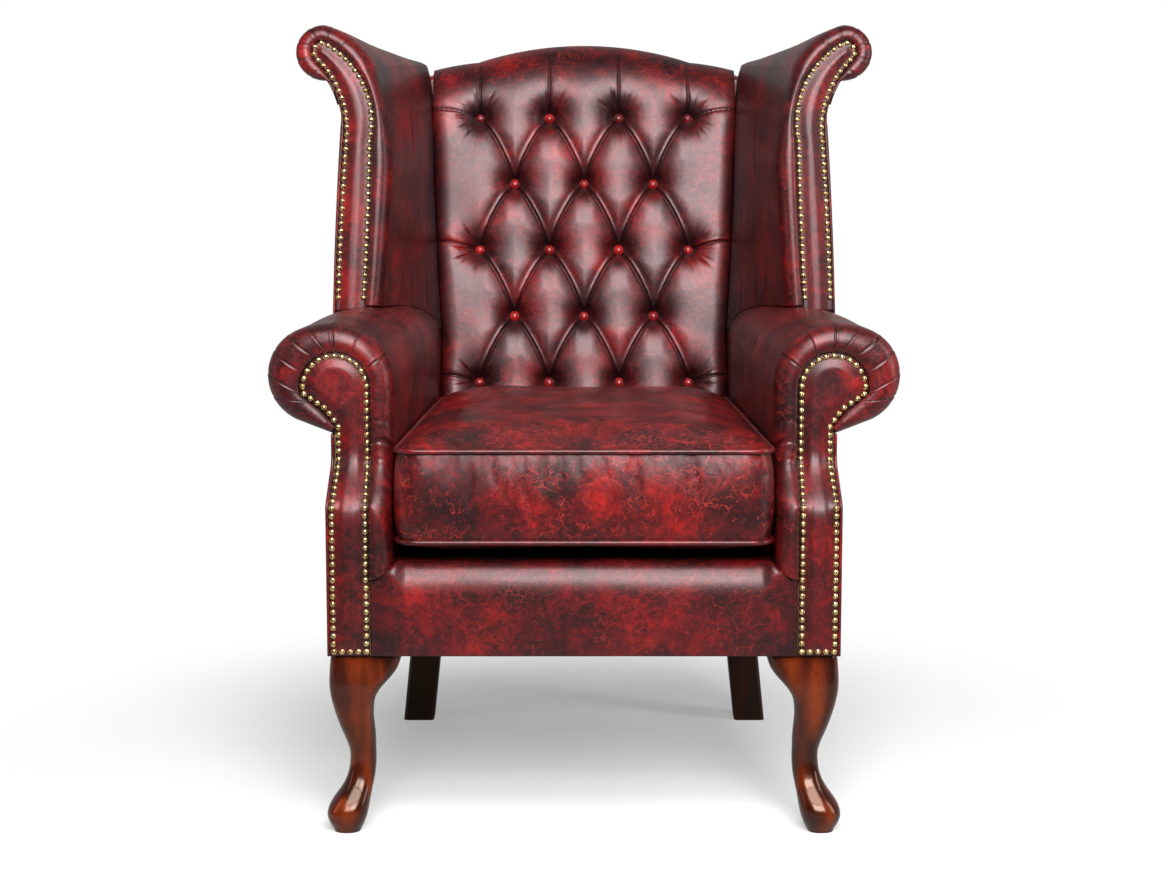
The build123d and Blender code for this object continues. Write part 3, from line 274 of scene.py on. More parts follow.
def arm_outline(rear, counts):
    """Arm outline across the chair at the front (rear False) or the rear of the frame, as (x, z) points.

    Up the inner face, round the inner roll, over the crown, round the outer roll and in to the neck.
    """
    inner = SEAT_HALF_REAR if rear else SEAT_HALF_FRONT
    wall = ARM_OUT_REAR if rear else ARM_OUT_FRONT
    roll = INNER_ROLL[1] if rear else INNER_ROLL[0]
    lean_end = 90 - CROWN_TURN
    away = np.array([cos(radians(lean_end)), sin(radians(lean_end))])
    crown_centre = np.array([inner + roll, ARM_TOP_Z - CROWN_R])
    outer_centre = crown_centre + (CROWN_R - OUTER_ROLL_R) * away
    tail = circle_arc(outer_centre, OUTER_ROLL_R, 0, lean_end - OUTER_TURN, counts[4])
    return chain(
        line((inner, ARM_FOOT_Z), (inner, ARM_TOP_Z - roll), counts[0]),
        circle_arc((inner + roll, ARM_TOP_Z - roll), roll, 180, 90, counts[1]),
        circle_arc(crown_centre, CROWN_R, 90, lean_end, counts[2]),
        circle_arc(outer_centre, OUTER_ROLL_R, lean_end, 0, counts[3]),
        tail,
        line(tail[-1], (wall, NECK_Z), counts[5]),
    )


def facing_edge(counts):
    """Edge of the arm's facing, point for point opposite arm_outline's."""
    inner = HEAD[0] - FACING_R
    down = circle_arc(HEAD, FACING_R, 75, -10, counts[3])
    return chain(
        line((inner, ARM_FOOT_Z), (inner, HEAD[1]), counts[0]),
        circle_arc(HEAD, FACING_R, 180, 90, counts[1]),
        circle_arc(HEAD, FACING_R, 90, 75, counts[2]),
        down,
        line(down[-1], FACING_UNDER, counts[4]),
        line(FACING_UNDER, FACING_NECK, counts[5]),
    )


def arm_crown_z(x, y):
    """Height of the arm's top surface over (x, y); below the inner roll it is the roll's own side."""
    share = (y - FRONT_Y) / BOX_DEPTH
    roll = INNER_ROLL[0] + (INNER_ROLL[1] - INNER_ROLL[0]) * share
    middle = arm_in_at(y) + roll
    over = ARM_TOP_Z - roll + np.sqrt(np.clip(roll**2 - (x - middle) ** 2, 0, None))
    crown = ARM_TOP_Z - CROWN_R + np.sqrt(np.clip(CROWN_R**2 - (x - middle) ** 2, 0, None))
    return np.where(x < middle, over, crown)


# Making meshes
def grid_faces(rows, columns, wrap_rows=False, wrap_columns=False):
    """Four-sided faces of a grid of points, joined up where a direction wraps."""
    r = np.arange(rows if wrap_rows else rows - 1)
    c = np.arange(columns if wrap_columns else columns - 1)
    r, c = np.meshgrid(r, c, indexing="ij")
    r, c = r.ravel(), c.ravel()
    r1, c1 = (r + 1) % rows, (c + 1) % columns
    return np.stack([r * columns + c, r * columns + c1, r1 * columns + c1, r1 * columns + c], 1)


def new_object(name, data):
    """An object at the origin with this data."""
    thing = bpy.data.objects.new(name, data)
    bpy.context.scene.collection.objects.link(thing)
    return thing


def add_layer(mesh, label, values):
    """Puts a number on each point of a mesh, under a label that a material can read."""
    layer = mesh.attributes.new(label, "FLOAT", "POINT")
    layer.data.foreach_set("value", np.asarray(values, np.float32).ravel())


def make_mesh(name, points, faces, **attributes):
    """Mesh object from points in millimetres and faces, doubles merged and normals outwards."""
    mesh = bpy.data.meshes.new(name)
    mesh.from_pydata((np.asarray(points).reshape(-1, 3) * MM).tolist(), [], [list(face) for face in faces])
    for label, values in attributes.items():
        add_layer(mesh, label, values)
    work = bmesh.new()
    work.from_mesh(mesh)
    bmesh.ops.remove_doubles(work, verts=work.verts, dist=1e-6)
    bmesh.ops.recalc_face_normals(work, faces=work.faces)
    work.to_mesh(mesh)
    work.free()
    mesh.polygons.foreach_set("use_smooth", [True] * len(mesh.polygons))
    mesh.update()
    return new_object(name, mesh)


def grid_normals(points):
    """Unit normals of a grid of points, from the cross product of its two directions."""
    across = np.gradient(points, axis=1)
    along = np.gradient(points, axis=0)
    normal = np.cross(along, across)
    return normal / np.maximum(np.linalg.norm(normal, axis=-1, keepdims=True), 1e-9)


def shell(name, points, thick, side, **attributes):
    """Closed wall: the grid as its outer face, and as its inner the same grid, thinned and moved by thick
    along its normals."""
    step = 4
    rows, columns = points.shape[:2]
    row_at = np.unique(np.append(np.arange(0, rows, step), rows - 1))
    column_at = np.unique(np.append(np.arange(0, columns, step), columns - 1))
    inner = (points + grid_normals(points) * thick * side)[np.ix_(row_at, column_at)]
    fine = np.arange(rows * columns).reshape(rows, columns)
    coarse = rows * columns + np.arange(inner.shape[0] * inner.shape[1]).reshape(inner.shape[:2])
    faces = grid_faces(rows, columns).tolist()
    faces += (grid_faces(*inner.shape[:2])[:, ::-1] + rows * columns).tolist()
    for edge, at, loop in (
        (fine[0], column_at, coarse[0]),
        (fine[-1], column_at, coarse[-1]),
        (fine[:, 0], row_at, coarse[:, 0]),
        (fine[:, -1], row_at, coarse[:, -1]),
    ):
        for i in range(len(at) - 1):
            faces.append(edge[at[i] : at[i + 1] + 1].tolist() + [int(loop[i + 1]), int(loop[i])])
    both = np.concatenate([points.reshape(-1, 3), inner.reshape(-1, 3)])
    layers = {
        label: np.concatenate([values.ravel(), values[np.ix_(row_at, column_at)].ravel()])
        for label, values in attributes.items()
    }
    return make_mesh(name, both, faces, **layers)


def round_cord(name, path, radius, sides, closed=False):
    """Round cord: circles square to its path, joined end to end if closed, else each end a flat face."""
    ahead = np.roll(path, -1, 0) - np.roll(path, 1, 0) if closed else np.gradient(path, axis=0)
    ahead /= np.linalg.norm(ahead, axis=1, keepdims=True)
    level = np.cross(ahead, (0, 0, 1.0))
    level /= np.maximum(np.linalg.norm(level, axis=1, keepdims=True), 1e-9)
    upward = np.cross(level, ahead)
    turn = np.linspace(0, 2 * np.pi, sides, endpoint=False)[None, :, None]
    ring = np.cos(turn) * level[:, None] + np.sin(turn) * upward[:, None]
    faces = grid_faces(len(path), sides, closed, True).tolist()
    if not closed:
        count = len(path) * sides
        faces += [list(range(sides)), list(range(count - sides, count))]
    return make_mesh(name, path[:, None] + radius * ring, faces)


def wear(thing, material):
    """Gives a piece its material."""
    thing.data.materials.clear()
    thing.data.materials.append(material)


def padded_piece(thing, replaced, material, body="chair"):
    """Puts a padded piece on its body in place of CAD nodes, in its leather."""
    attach(thing, body)
    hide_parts(*replaced)
    wear(thing, material)


def padded_pair(grid, piece, node_name, thick, material, slot="leather", fill=0.85, **attributes):
    """A right-hand grid and its mirror image as walls, each in place of the CAD node on its side."""
    for name, points, side in (("right", grid, 1), ("left", grid * MIRROR, -1)):
        thing = shell(f"{piece}_{name}", points, thick, side, **attributes)
        padded_piece(thing, [f"{node_name}_{name}"], material)


def ripple(x, y, waves, seed, low, high):
    """Soft unevenness: a sum of sines with seeded directions and lengths from low to high millimetres."""
    pick = np.random.default_rng(seed)
    total = np.zeros(np.broadcast(x, y).shape)
    for _ in range(waves):
        turn = pick.uniform(0, 2 * np.pi)
        length = pick.uniform(low, high)
        across = x * np.cos(turn) + y * np.sin(turn)
        total += np.sin(across * 2 * np.pi / length + pick.uniform(0, 6.28))
    return total / np.sqrt(waves)


# Deep buttoning
def row_shares(row):
    """Places of the buttons in a row, as shares of the step across: four, then three, in turn."""
    return (-1.5, -0.5, 0.5, 1.5) if row % 2 == 0 else (-1.0, 0.0, 1.0)


def button_spots():
    """Places of all buttons on the back's front plane, as (x, up)."""
    rows = [(row, BUTTON_LOW_UP + row * BUTTON_STEP_UP) for row in range(BUTTON_ROWS)]
    return [(share * BUTTON_STEP_X, up) for row, up in rows for share in row_shares(row)]


def pleat_lines(top_s):
    """Pleats as (upper end, lower end, bow): between rows, out to the wings and over the crest."""
    spots = button_spots()
    lines = []
    for x, up in spots:
        for far_x, far_up in spots:
            step = far_up - up
            if 0 < step < 1.5 * BUTTON_STEP_UP and abs(far_x - x) < 0.7 * BUTTON_STEP_X:
                lines.append(((far_x, far_up), (x, up), PLEAT_BOW))
    side = 1.5 * BUTTON_STEP_X
    for row in range(0, BUTTON_ROWS, 2):
        up = BUTTON_LOW_UP + row * BUTTON_STEP_UP
        for way in (-1, 1):
            end = (SIDE_PLEAT_X * way, up + SIDE_PLEAT_RISE)
            lines.append(((side * way, up), end, SIDE_PLEAT_BOW * way))
    for share in row_shares(0):
        lines.append(((share * BUTTON_STEP_X, BUTTON_TOP_UP), (share * BUTTON_STEP_X, top_s), 0.0))
    return lines


def pleat_shape(x, s, upper, lower, bow):
    """One pleat, as the depth of its valley, its fine crease and the painted shade along that crease.

    The valley is bowed, and its depth falls with the distance d from it as (1 - d / reach) to a power,
    deepest at the buttons. A sharp line runs down it with a rounded fold above, and both fade at the ends.
    """
    along_x, along_up = lower[0] - upper[0], lower[1] - upper[1]
    from_x, from_up = x - upper[0], s - upper[1]
    length = np.hypot(along_x, along_up)
    ahead = (from_x * along_x + from_up * along_up) / length
    side = (from_x * along_up - from_up * along_x) / length
    t = np.clip(ahead / length, 0, 1)
    past = np.maximum(-ahead, 0) + np.maximum(ahead - length, 0)
    fade_length = 9.0
    line_width = 1.2
    fold_away = 3.4
    ends = hump(past, 2.5)
    fade = smooth(t * length / fade_length)
    if bow == PLEAT_BOW:
        side = np.sign(along_x) * side
        fade = fade * smooth((1 - t) * length / fade_length)
        low = 7.0 + 6.0 * (2 * t - 1) ** 2
        reach = 30.0
        fold_high = 1.0
    else:
        low = 1.5 + 5.0 * (1 - t) ** 2.5
        reach = 16.0
        fold_high = 0.6
    off = side + bow * 4 * t * (1 - t) * (1 - 0.1 * (2 * t - 1))
    valley = low * np.clip(1 - np.hypot(off, past) / reach, 0, 1) ** 1.9
    fold = hump(off + fold_away, 2.0) - 0.3 * hump(off + 2.5 * fold_away, 3.5)
    crease = (2.6 * hump(off, line_width) - fold_high * fold) * ends * fade
    # The last value is painted shade: a dark line down the crease.
    return valley, crease, 0.75 * hump(off, 1.7) * ends * fade


def button_shape(x, s, number, button_x, button_up):
    """One button, as the depth of its pit, its wrinkles and the painted shade round it.

    The pit is a steep bell and a wide shallow cone. Fine wrinkles leave the button like rays and fade out,
    strongest towards the back's own edges beside the outer buttons and above the top row.
    """
    bell_width = 15.0
    cone_reach = 62.0
    ray_middle = 24.0
    dx, du = x - button_x, s - button_up
    r = np.hypot(dx, du * 0.88)
    bell = (BUTTON_SINK - 1.0) * np.exp(-((r / bell_width) ** 1.25))
    pit = bell + 7.0 * np.clip(1 - r / cone_reach, 0, 1) ** 1.8
    turn = np.arctan2(du, dx)
    outward = np.full(x.shape, -1.0)
    if abs(button_x) > 1.2 * BUTTON_STEP_X:
        outward = np.cos(turn) * np.sign(button_x)
    if button_up == BUTTON_TOP_UP:
        outward = np.maximum(outward, np.sin(turn) - 0.25)
    pick = np.random.default_rng(100 + number)
    fan = np.zeros(x.shape)
    for waves in (9, 13, 19, 27):
        fan += np.cos(waves * turn + pick.uniform(0, 6.28) + pick.uniform(-1, 1) * r / 26.0)
    sharp = np.clip(fan / 2.0, 0, 1.5) ** 1.5
    rays = sharp * hump(r - ray_middle, 11.0) * (0.16 + 1.35 * smooth(outward / 0.8))
    # Painted shade round the pit, centred 9 mm above the button, where the pit faces down.
    return pit, rays, 1.1 * np.exp(-(np.hypot(dx / 25.0, (du - 9.0) / 29.0) ** 1.8))


def tuft_relief(x, s, top_s):
    """Depth of the buttoned leather under its front plane, and the painted shade on each point.

    The depths of the pleats and pits join as the cube root of the sum of their cubes, held softly above the
    buttons' own depth. Creases and wrinkles are added to that.
    """
    total = np.zeros(x.shape)
    fine = np.zeros(x.shape)
    # dark sums the painted shade of the pleats and pits.
    dark = np.zeros(x.shape)
    shapes = [pleat_shape(x, s, *pleat) for pleat in pleat_lines(top_s)]
    shapes += [button_shape(x, s, number, *spot) for number, spot in enumerate(button_spots())]
    for deep, small, shade in shapes:
        total += deep**3
        fine += small
        dark += shade
    floor = BUTTON_SINK + 2.2
    depth = floor - np.log1p(np.exp((floor - np.cbrt(total)) / 2.0)) * 2.0
    return depth + fine, dark


def crest_z(x):
    """Height of the back's crest over x: the camel back, its shoulders and its ends, joined smoothly."""
    middle = arc_through((-CREST_SHOULDER[0], CREST_SHOULDER[1]), CREST_TOP, CREST_SHOULDER, 80)
    both = chain(middle, arc_through(CREST_SHOULDER, CREST_BEND, CREST_END, 30))
    both = both[both[:, 0] >= 0]
    return np.interp(abs(x), both[:, 0], both[:, 1])


def back_half(up):
    """Half width of the back at height up the lean: the wing's root above the arm, the arm's face below."""
    z = LEAN_Z + up * cos(BACK_LEAN)
    root = np.interp(up, WING_ROOT_UP, WING_ROOT_HALF)
    arm = arm_in_at(back_y(z)) - GAP
    beside_arm = z < ARM_TOP_Z - 20.0
    return np.where(beside_arm, np.minimum(root, np.maximum(arm, 200.0)), root) - GAP


def make_back():
    """Buttoned back: up the front, over the crest and its rail to the rear panel, with a flat rear face."""
    columns = 400
    front_rows = 450
    roll_rows = 70
    cover_rows = 12
    nose = 98.0
    nose_deep = 0.56 * nose
    edge_wide = 26.0
    low_up = (DECK_TOP_Z + 4.0 - LEAN_Z) / cos(BACK_LEAN)
    u = np.linspace(-1, 1, columns)[None]
    top_up = (crest_z(u * CREST_END[0]) - LEAN_Z) / cos(BACK_LEAN) - nose
    up = low_up + (top_up - low_up) * np.linspace(0, 1, front_rows)[:, None]
    x = u * back_half(up)
    turn = np.linspace(0, np.pi / 2, roll_rows)[1:, None] + np.zeros((1, columns))
    s = np.concatenate([up, top_up + nose * turn])
    x = np.concatenate([x, np.repeat(x[-1:], roll_rows - 1, 0)])
    out = np.concatenate([np.zeros(up.shape), -nose_deep * (1 - np.cos(turn))])
    normal_up = np.concatenate([np.zeros(up.shape), np.sin(turn)])
    normal_out = np.concatenate([np.ones(up.shape), np.cos(turn)])
    over = np.concatenate([np.ones(up.shape), 1 - smooth(turn / 1.3)])
    up = np.concatenate([up, top_up + nose * np.sin(turn)])
    fine, shade_paint = tuft_relief(x, s, top_up.max() + 90.0)
    edge = np.clip((abs(x) - back_half(up) + edge_wide) / edge_wide, 0, 1)
    relief = (1.0 - fine - 9.0 * edge**2.4 + 0.77 * ripple(x, s, 9, 5, 90, 210)) * over
    # Painted shade: darker towards the back's sides, where it meets the wings and arms.
    shade_paint = np.clip(shade_paint + 0.9 * edge**1.4, 0, 1)
    behind = np.linspace(0, 1, cover_rows)[1:, None]
    rail_out = -(BACK_THICK - BACK_PANEL_THICK - 2 * GAP)
    grid = np.concatenate([
        on_back(x, up + normal_up * relief, out + normal_out * relief),
        on_back(x[-1:], up[-1:] - 7.0 * behind**2, out[-1:] + (rail_out - out[-1:]) * behind),
        on_back(x[-1:], up[-1:] - 15.0, rail_out),
        on_back(x[-1:], up[-1:] - 16.0, -PAD_THICK),
        on_back(x[:1], up[:1], -PAD_THICK),
    ])
    rows = len(grid) - 1
    foot = rows * columns
    faces = grid_faces(rows, columns).tolist()
    faces += [[j, j + 1, foot + j + 1, foot + j] for j in range(columns - 1)]
    left = [r * columns for r in range(rows + 1)]
    right = [r * columns + columns - 1 for r in range(rows + 1)]
    rear = list(range(foot, foot + columns)) + list(range(foot - 1, foot - columns - 1, -1))
    faces += [left, right[::-1], rear]
    recess = np.concatenate([shade_paint, np.zeros((rows + 1 - len(shade_paint), columns))])
    padded_piece(make_mesh("buttoned_back", grid, faces, recess=recess), ["back_pad"], leather)


# Rolled arms
ARM_COUNTS = (60, 46, 16, 40, 34, 20)
ARM_PLEATS = (286.0, 330.0, 368.0, 400.0, 430.0, 458.0, 488.0, 520.0)
ARM_NOSE = 22.0
ARM_SWELL = 9.0
ARM_ROWS = 112
ARM_END_GAP = 8.0
SEAT_EDGE_Z = 505.0
INNER_FACE_LENGTH = 260.0
BAND_INNER_X = 290.0
BAND_ROWS = 30


def pleat_grooves(along, behind, places, width, slant, start, length):
    """Narrow pleats round a scroll: bell-shaped grooves, each with a low ridge beside it.

    They lean by slant from the front and die out over length behind start.
    """
    groove = np.zeros(along.shape)
    for place in places:
        d = along + slant * behind - place
        groove += hump(d, width) - 0.35 * hump(d - 2.6 * width, 1.5 * width)
    row = np.arange(len(along))[:, None]
    return groove * smooth((row - 3) / 6.0) * (1 - smooth((behind - start) / length))


def row_effects(rows):
    """How far relief holds near the last rows, and the painted shade on the first rows beside the facing."""
    row = np.arange(rows)[:, None]
    return smooth((rows - 1 - row) / 6.0), hump(row, 3.5)


def stuffed_band(edge, outline, nose, swell):
    """Section of a stuffed band from a facing's edge to the outline.

    A cubic curve: it leaves the edge steeply, swells forwards and turns back to meet the side nose behind
    the front. Returns points (x, up) and how far each stands out in front.
    """
    t = np.linspace(0, 1, BAND_ROWS)[:, None]
    width = np.linalg.norm(outline - edge, axis=1)[None]
    rise = swell * np.clip(width / 26.0, 0.12, 1)
    near_edge = 1 - (0.18 * (1 - t) ** 2 * t + 3 * (1 - t) * t**2 + t**3)
    out = -1.6 * (1 - t) ** 3 + 3 * (1 - t) * t * rise - nose * t**3
    return outline[None] + (edge - outline)[None] * near_edge[..., None], out


def foot_rise(x):
    """How far the foot of an arm's band rises over its lowest point, from the nails inwards."""
    inwards = np.clip((HEAD[0] - FACING_R - abs(x)) / 35.0, 0, 1)
    return 18.0 * inwards**1.4


def make_arms():
    """Rolled arms: a pleated band round each scroll, then the roll straight back to a closed rear end."""
    outlines = (arm_outline(False, ARM_COUNTS), arm_outline(True, ARM_COUNTS), facing_edge(ARM_COUNTS))
    front, rear, edge = paired(540, *outlines)
    flat, out = stuffed_band(smooth_run(edge, 8), front, ARM_NOSE, ARM_SWELL)
    t = np.linspace(0, 1, BAND_ROWS)[:, None]
    y = FRONT_Y + eased_set_back(flat[..., 1], smooth((t - 0.1) / 0.4)) - out
    shift = (rear - front)[None] * (np.clip(y - FRONT_Y, 0, None) / BOX_DEPTH)[..., None]
    flat = flat + shift * smooth(t)[..., None]
    band = joined(flat[..., 0], y, flat[..., 1])
    start_y = band[-1:, :, 1]
    end_y = panel_y(np.clip(front[:, 1], ARM_FOOT_Z, None))[None] - ARM_END_GAP
    y = start_y + (end_y - start_y) * np.linspace(0, 1, ARM_ROWS)[1:, None]
    part = ((y - FRONT_Y) / BOX_DEPTH)[..., None]
    flat = front[None] * (1 - part) + rear[None] * part
    grid = np.concatenate([band, joined(flat[..., 0], y, flat[..., 1])])
    low = 1 - smooth((grid[..., 2] - ARM_FOOT_Z) / 45.0)
    near = 1 - smooth((grid[..., 1] - FRONT_Y - 30.0) / 60.0)
    grid[..., 2] += foot_rise(grid[..., 0]) * low * near * (grid[..., 0] < BAND_INNER_X)
    behind = grid[..., 1] - (FRONT_Y + front_set_back(grid[..., 2]))
    along = np.broadcast_to(run_length(front)[None], behind.shape)
    groove = pleat_grooves(along, behind, ARM_PLEATS, 1.4, 0.10, 10.0, 42.0)
    near_seat = hump(grid[..., 2] - SEAT_EDGE_Z, 32.0) * (along < INNER_FACE_LENGTH)
    drag = grid[..., 2] + 0.8 * behind
    lines = np.clip(np.sin(drag / 4.2) + 0.4 * np.sin(drag / 2.3 + 1.0), 0, 1)
    wrinkles = near_seat * hump(behind - 4.0, 22.0) * lines
    on_top = smooth((along - 190.0) / 40.0) * smooth((440.0 - along) / 40.0)
    across_top = smooth((behind - 40.0) / 50.0) * on_top
    creases = across_top * np.clip(ripple(behind, along * 0.22, 7, 31, 24, 60) - 0.5, 0, 2)
    unevenness = 0.5 * ripple(along, behind, 8, 21, 120, 300) * smooth(behind / 60.0)
    hold, tuck_shade = row_effects(len(grid))
    relief = (unevenness - 0.85 * groove - 1.4 * wrinkles - 0.7 * creases) * hold
    grid = grid - grid_normals(grid) * relief[..., None]
    # Painted shade in the pleat grooves, in the wrinkles by the seat and on the first rows beside the facing.
    shade_paint = np.clip(groove, 0, 1) + 0.5 * wrinkles + tuck_shade
    tail = grid[-1]
    middle = tail.mean(0)
    rings = ((0.985, 2.2), (0.95, 4.0), (0.88, 5.0), (0.6, 5.6), (0.3, 5.8))
    cap = [middle + (tail - middle) * size + np.array([0, back, 0]) for size, back in rings]
    grid = np.concatenate([grid, np.array(cap)])
    shade_paint = np.concatenate([shade_paint, np.zeros((len(cap), shade_paint.shape[1]))])
    padded_pair(grid, "rolled_arm", "arm_pad", 5.0, leather, recess=shade_paint)


# Wings: each station's outline has the x of its inner foot, its waist, brow, scroll (centre and radius),
# the x where its outer side turns and where it ends, and the bulge of that side
WING_COUNTS = (60, 36, 36, 24, 30, 24, 70)
WING_PLEATS = (452.0, 486.0, 516.0, 545.0, 573.0, 602.0)
WING_STATIONS = (
    (293.0, (271.0, 263.0), (296.0, 398.0), (368.0, 417.0, 40.0), 344.0, 355.0, 2.0),
    (216.0, (229.0, 263.0), (240.0, 410.0), (284.0, 394.0, 22.0), 285.0, 292.0, 2.0),
    (216.0, (229.0, 263.0), (240.0, 410.0), (256.0, 393.0, 16.0), 271.7, 272.0, 0.3),
)
WING_WAIST = 312.0
WING_NOSE = 16.0
WING_SWELL = 8.0
WING_DEEP = 360.0
WING_BODY_ROWS = 109

# Nail line of the wing's facing, as arcs from the inner foot round the tip to the outer foot
WING_TIP = (366.0, 417.0)
WING_TIP_R = 13.0
WING_TIP_TOP = (WING_TIP[0], WING_TIP[1] + WING_TIP_R)
WING_TIP_OUT = (WING_TIP[0] + WING_TIP_R, WING_TIP[1])
WING_TIP_LOW = (WING_TIP[0] + WING_TIP_R * cos(radians(60)), WING_TIP[1] - WING_TIP_R * sin(radians(60)))
WING_NAILS = (
    ((314.0, 0.0), (305.5, 146.0), (301.0, 292.0), 120),
    ((301.0, 292.0), (331.0, 403.0), WING_TIP_TOP, 80),
    (WING_TIP_TOP, WING_TIP_OUT, WING_TIP_LOW, 40),
    (WING_TIP_LOW, (345.0, 366.0), (333.5, 292.0), 60),
    ((333.5, 292.0), (341.75, 146.0), (346.0, 0.0), 120),
)
# Spots near the facing's tip and the top of the outside panel, and those on the facing's edge opposite the
# joints of the wing's outline
WING_TIP_SPOT = (383.0, 414.0)
WING_SPLIT_SPOT = (346.0, 345.0)
WING_MARKS = (
    (301.0, 263.0),
    (331.0, 403.0),
    (366.0, 434.0),
    (383.0, 417.0),
    (352.0, 376.0),
    (338.0, WING_WAIST),
)


def wing_outline(station):
    """Outline of the wing: up its inner side, over the brow, round the scroll and down its outer side."""
    foot_x, waist, brow, (cx, cy, r), turn_x, out_x, bulge = WING_STATIONS[station]
    belly = ((waist[0] + foot_x) / 2 - (foot_x - waist[0]) / 9, waist[1] / 2)
    sweep = ((brow[0] + waist[0]) / 2 - (brow[0] - waist[0]) / 6, (brow[1] + waist[1]) / 2)
    dip = ((cx + brow[0]) / 2 - (cx - brow[0]) / 12, (cy + r + brow[1]) / 2 + r / 5)
    low = (cx + r * cos(radians(-100)), cy + r * sin(radians(-100)))
    neck = (turn_x + (low[0] - turn_x) / 4, WING_WAIST + (low[1] - WING_WAIST) * 2 / 3)
    side = ((turn_x + out_x) / 2 + bulge, WING_WAIST / 2)
    return chain(
        arc_through((foot_x, 0.0), belly, waist, WING_COUNTS[0]),
        arc_through(waist, sweep, brow, WING_COUNTS[1]),
        arc_through(brow, dip, (cx, cy + r), WING_COUNTS[2]),
        circle_arc((cx, cy), r, 90, 0, WING_COUNTS[3]),
        circle_arc((cx, cy), r, 0, -100, WING_COUNTS[4]),
        arc_through(low, neck, (turn_x, WING_WAIST), WING_COUNTS[5]),
        arc_through((turn_x, WING_WAIST), side, (out_x, 0.0), WING_COUNTS[6]),
    )


def wing_edge_run():
    """Edge of the wing's facing: its nail line moved outwards, rounded a little."""
    nails = spread(chain(*[arc_through(*arc) for arc in WING_NAILS]), 900)
    step = np.gradient(nails, axis=0)
    step /= np.linalg.norm(step, axis=1, keepdims=True)
    return smooth_run(nails + NAIL_MARGIN * np.stack([-step[:, 1], step[:, 0]], 1), 20)


def wing_edge():
    """The facing's edge, point for point opposite wing_outline's."""
    run = wing_edge_run()
    stops = [0] + [nearest(run, mark) for mark in WING_MARKS] + [len(run) - 1]
    return chain(*[spread(run[a : b + 1], count) for a, b, count in zip(stops, stops[1:], WING_COUNTS)])


def end_at_arm(grid, low_end, high_start):
    """Shortens each row at both ends to where it leaves the arm's top, sliding its points along."""
    count = grid.shape[1]
    columns = np.arange(count)
    clear = grid[..., 2] - np.maximum(arm_crown_z(grid[..., 0], grid[..., 1]), LEAN_Z + 3.0) - 0.8
    out = np.empty_like(grid)
    for r, row in enumerate(clear):
        a = int(np.argmax(row[:low_end] > 0))
        a = a - row[a] / (row[a] - row[a - 1]) if a else 0
        b = count - 1 - int(np.argmax(row[::-1] > 0))
        b = b + row[b] / (row[b] - row[b + 1]) if b < count - 1 else b
        at = np.where(columns < low_end, a + (low_end - a) * columns / low_end, columns)
        past = (columns - high_start) / (count - 1 - high_start)
        at = np.where(columns > high_start, high_start + (b - high_start) * past, at)
        out[r] = np.stack([np.interp(at, columns, grid[r, :, i]) for i in range(3)], 1)
    return out


def make_wings():
    """Wings: a stuffed band round each scroll, then straight back to the frame's rear, down to the arm."""
    count = 430
    front, middle, rear, edge = paired(count, *[wing_outline(station) for station in range(3)], wing_edge())
    flat, out = stuffed_band(smooth_run(edge, 12), front, WING_NOSE, WING_SWELL)
    root = on_wing(front[:, 0], front[:, 1], 0.0)
    mid = on_back(middle[:, 0], middle[:, 1], 0.0)
    last = on_back(rear[:, 0], rear[:, 1], -BACK_THICK)
    last = mid + (last - mid) * (BACK_THICK - BACK_PANEL_THICK - GAP) / BACK_THICK
    deep = (mid - root) @ np.array([0, cos(WING_LEAN), -sin(WING_LEAN)])
    back = np.clip(-out, 0, None) / deep[None]
    band = on_wing(flat[..., 0], flat[..., 1], np.clip(out, 0, None)) + (mid - root)[None] * back[..., None]
    start = (WING_NOSE / deep)[None]
    share = np.linspace(0, 1, WING_BODY_ROWS + 1)[1:, None]
    part = (start + (1 - start) * share)[..., None]
    body = root[None] * (1 - part) + mid[None] * part
    share = np.linspace(0, 1, 30)[1:, None, None]
    grid = np.concatenate([band, body, mid[None] * (1 - share) + last[None] * share])
    rows = len(grid)
    turn = nearest(front, (WING_STATIONS[0][4], WING_WAIST))
    grid = end_at_arm(grid, nearest(front, WING_STATIONS[0][1]), turn)
    along = np.broadcast_to(run_length(front)[None], grid.shape[:2])
    deeper = np.linspace(WING_NOSE, WING_DEEP, rows - BAND_ROWS)[:, None]
    behind = np.concatenate([-out, np.repeat(deeper, count, 1)])
    groove = pleat_grooves(along, behind, WING_PLEATS, 1.5, 0.08, 8.0, 34.0)
    unevenness = 0.5 * ripple(along, behind, 8, 41, 110, 260) * smooth(behind / 50.0)
    creases = np.clip(ripple(along * 0.35, behind, 7, 43, 30, 80) - 0.7, 0, 2)
    creases = creases * smooth((behind - 30.0) / 50.0)
    inner_side = smooth((along[:, ::-1] - 160.0) / 60.0)
    hold, tuck_shade = row_effects(rows)
    relief = (unevenness - 0.85 * groove - 0.5 * creases * inner_side) * hold
    grid = grid - grid_normals(grid) * relief[..., None]
    # Painted shade in the pleat grooves and beside the facing, and in the corner where the wing meets the
    # back.
    shade_paint = np.clip(groove, 0, 1) + tuck_shade
    corner = 0.85 * hump(np.arange(rows)[:, None] - BAND_ROWS - WING_BODY_ROWS, 26.0)
    split = nearest(front, WING_SPLIT_SPOT)
    inside = slice(None, split + 1)
    outside = slice(split, None)
    padded_pair(grid[:, inside], "wing", "wing_pad", 5.0, leather, recess=(shade_paint + corner)[:, inside])
    padded_pair(
        grid[:, outside], "wing_side", "wing_outside_panel", 2.5, leather, fill=0.4, recess=shade_paint[:, outside]
    )


# Facings inside the nail lines
def facing_relief(d, puff):
    """How far a facing stands out: tucked in at its edge, level under the nails, then softly domed."""
    return -1.6 * (1 - smooth(d / 3.2)) + puff * smooth((d - 5.0) / 15.0)


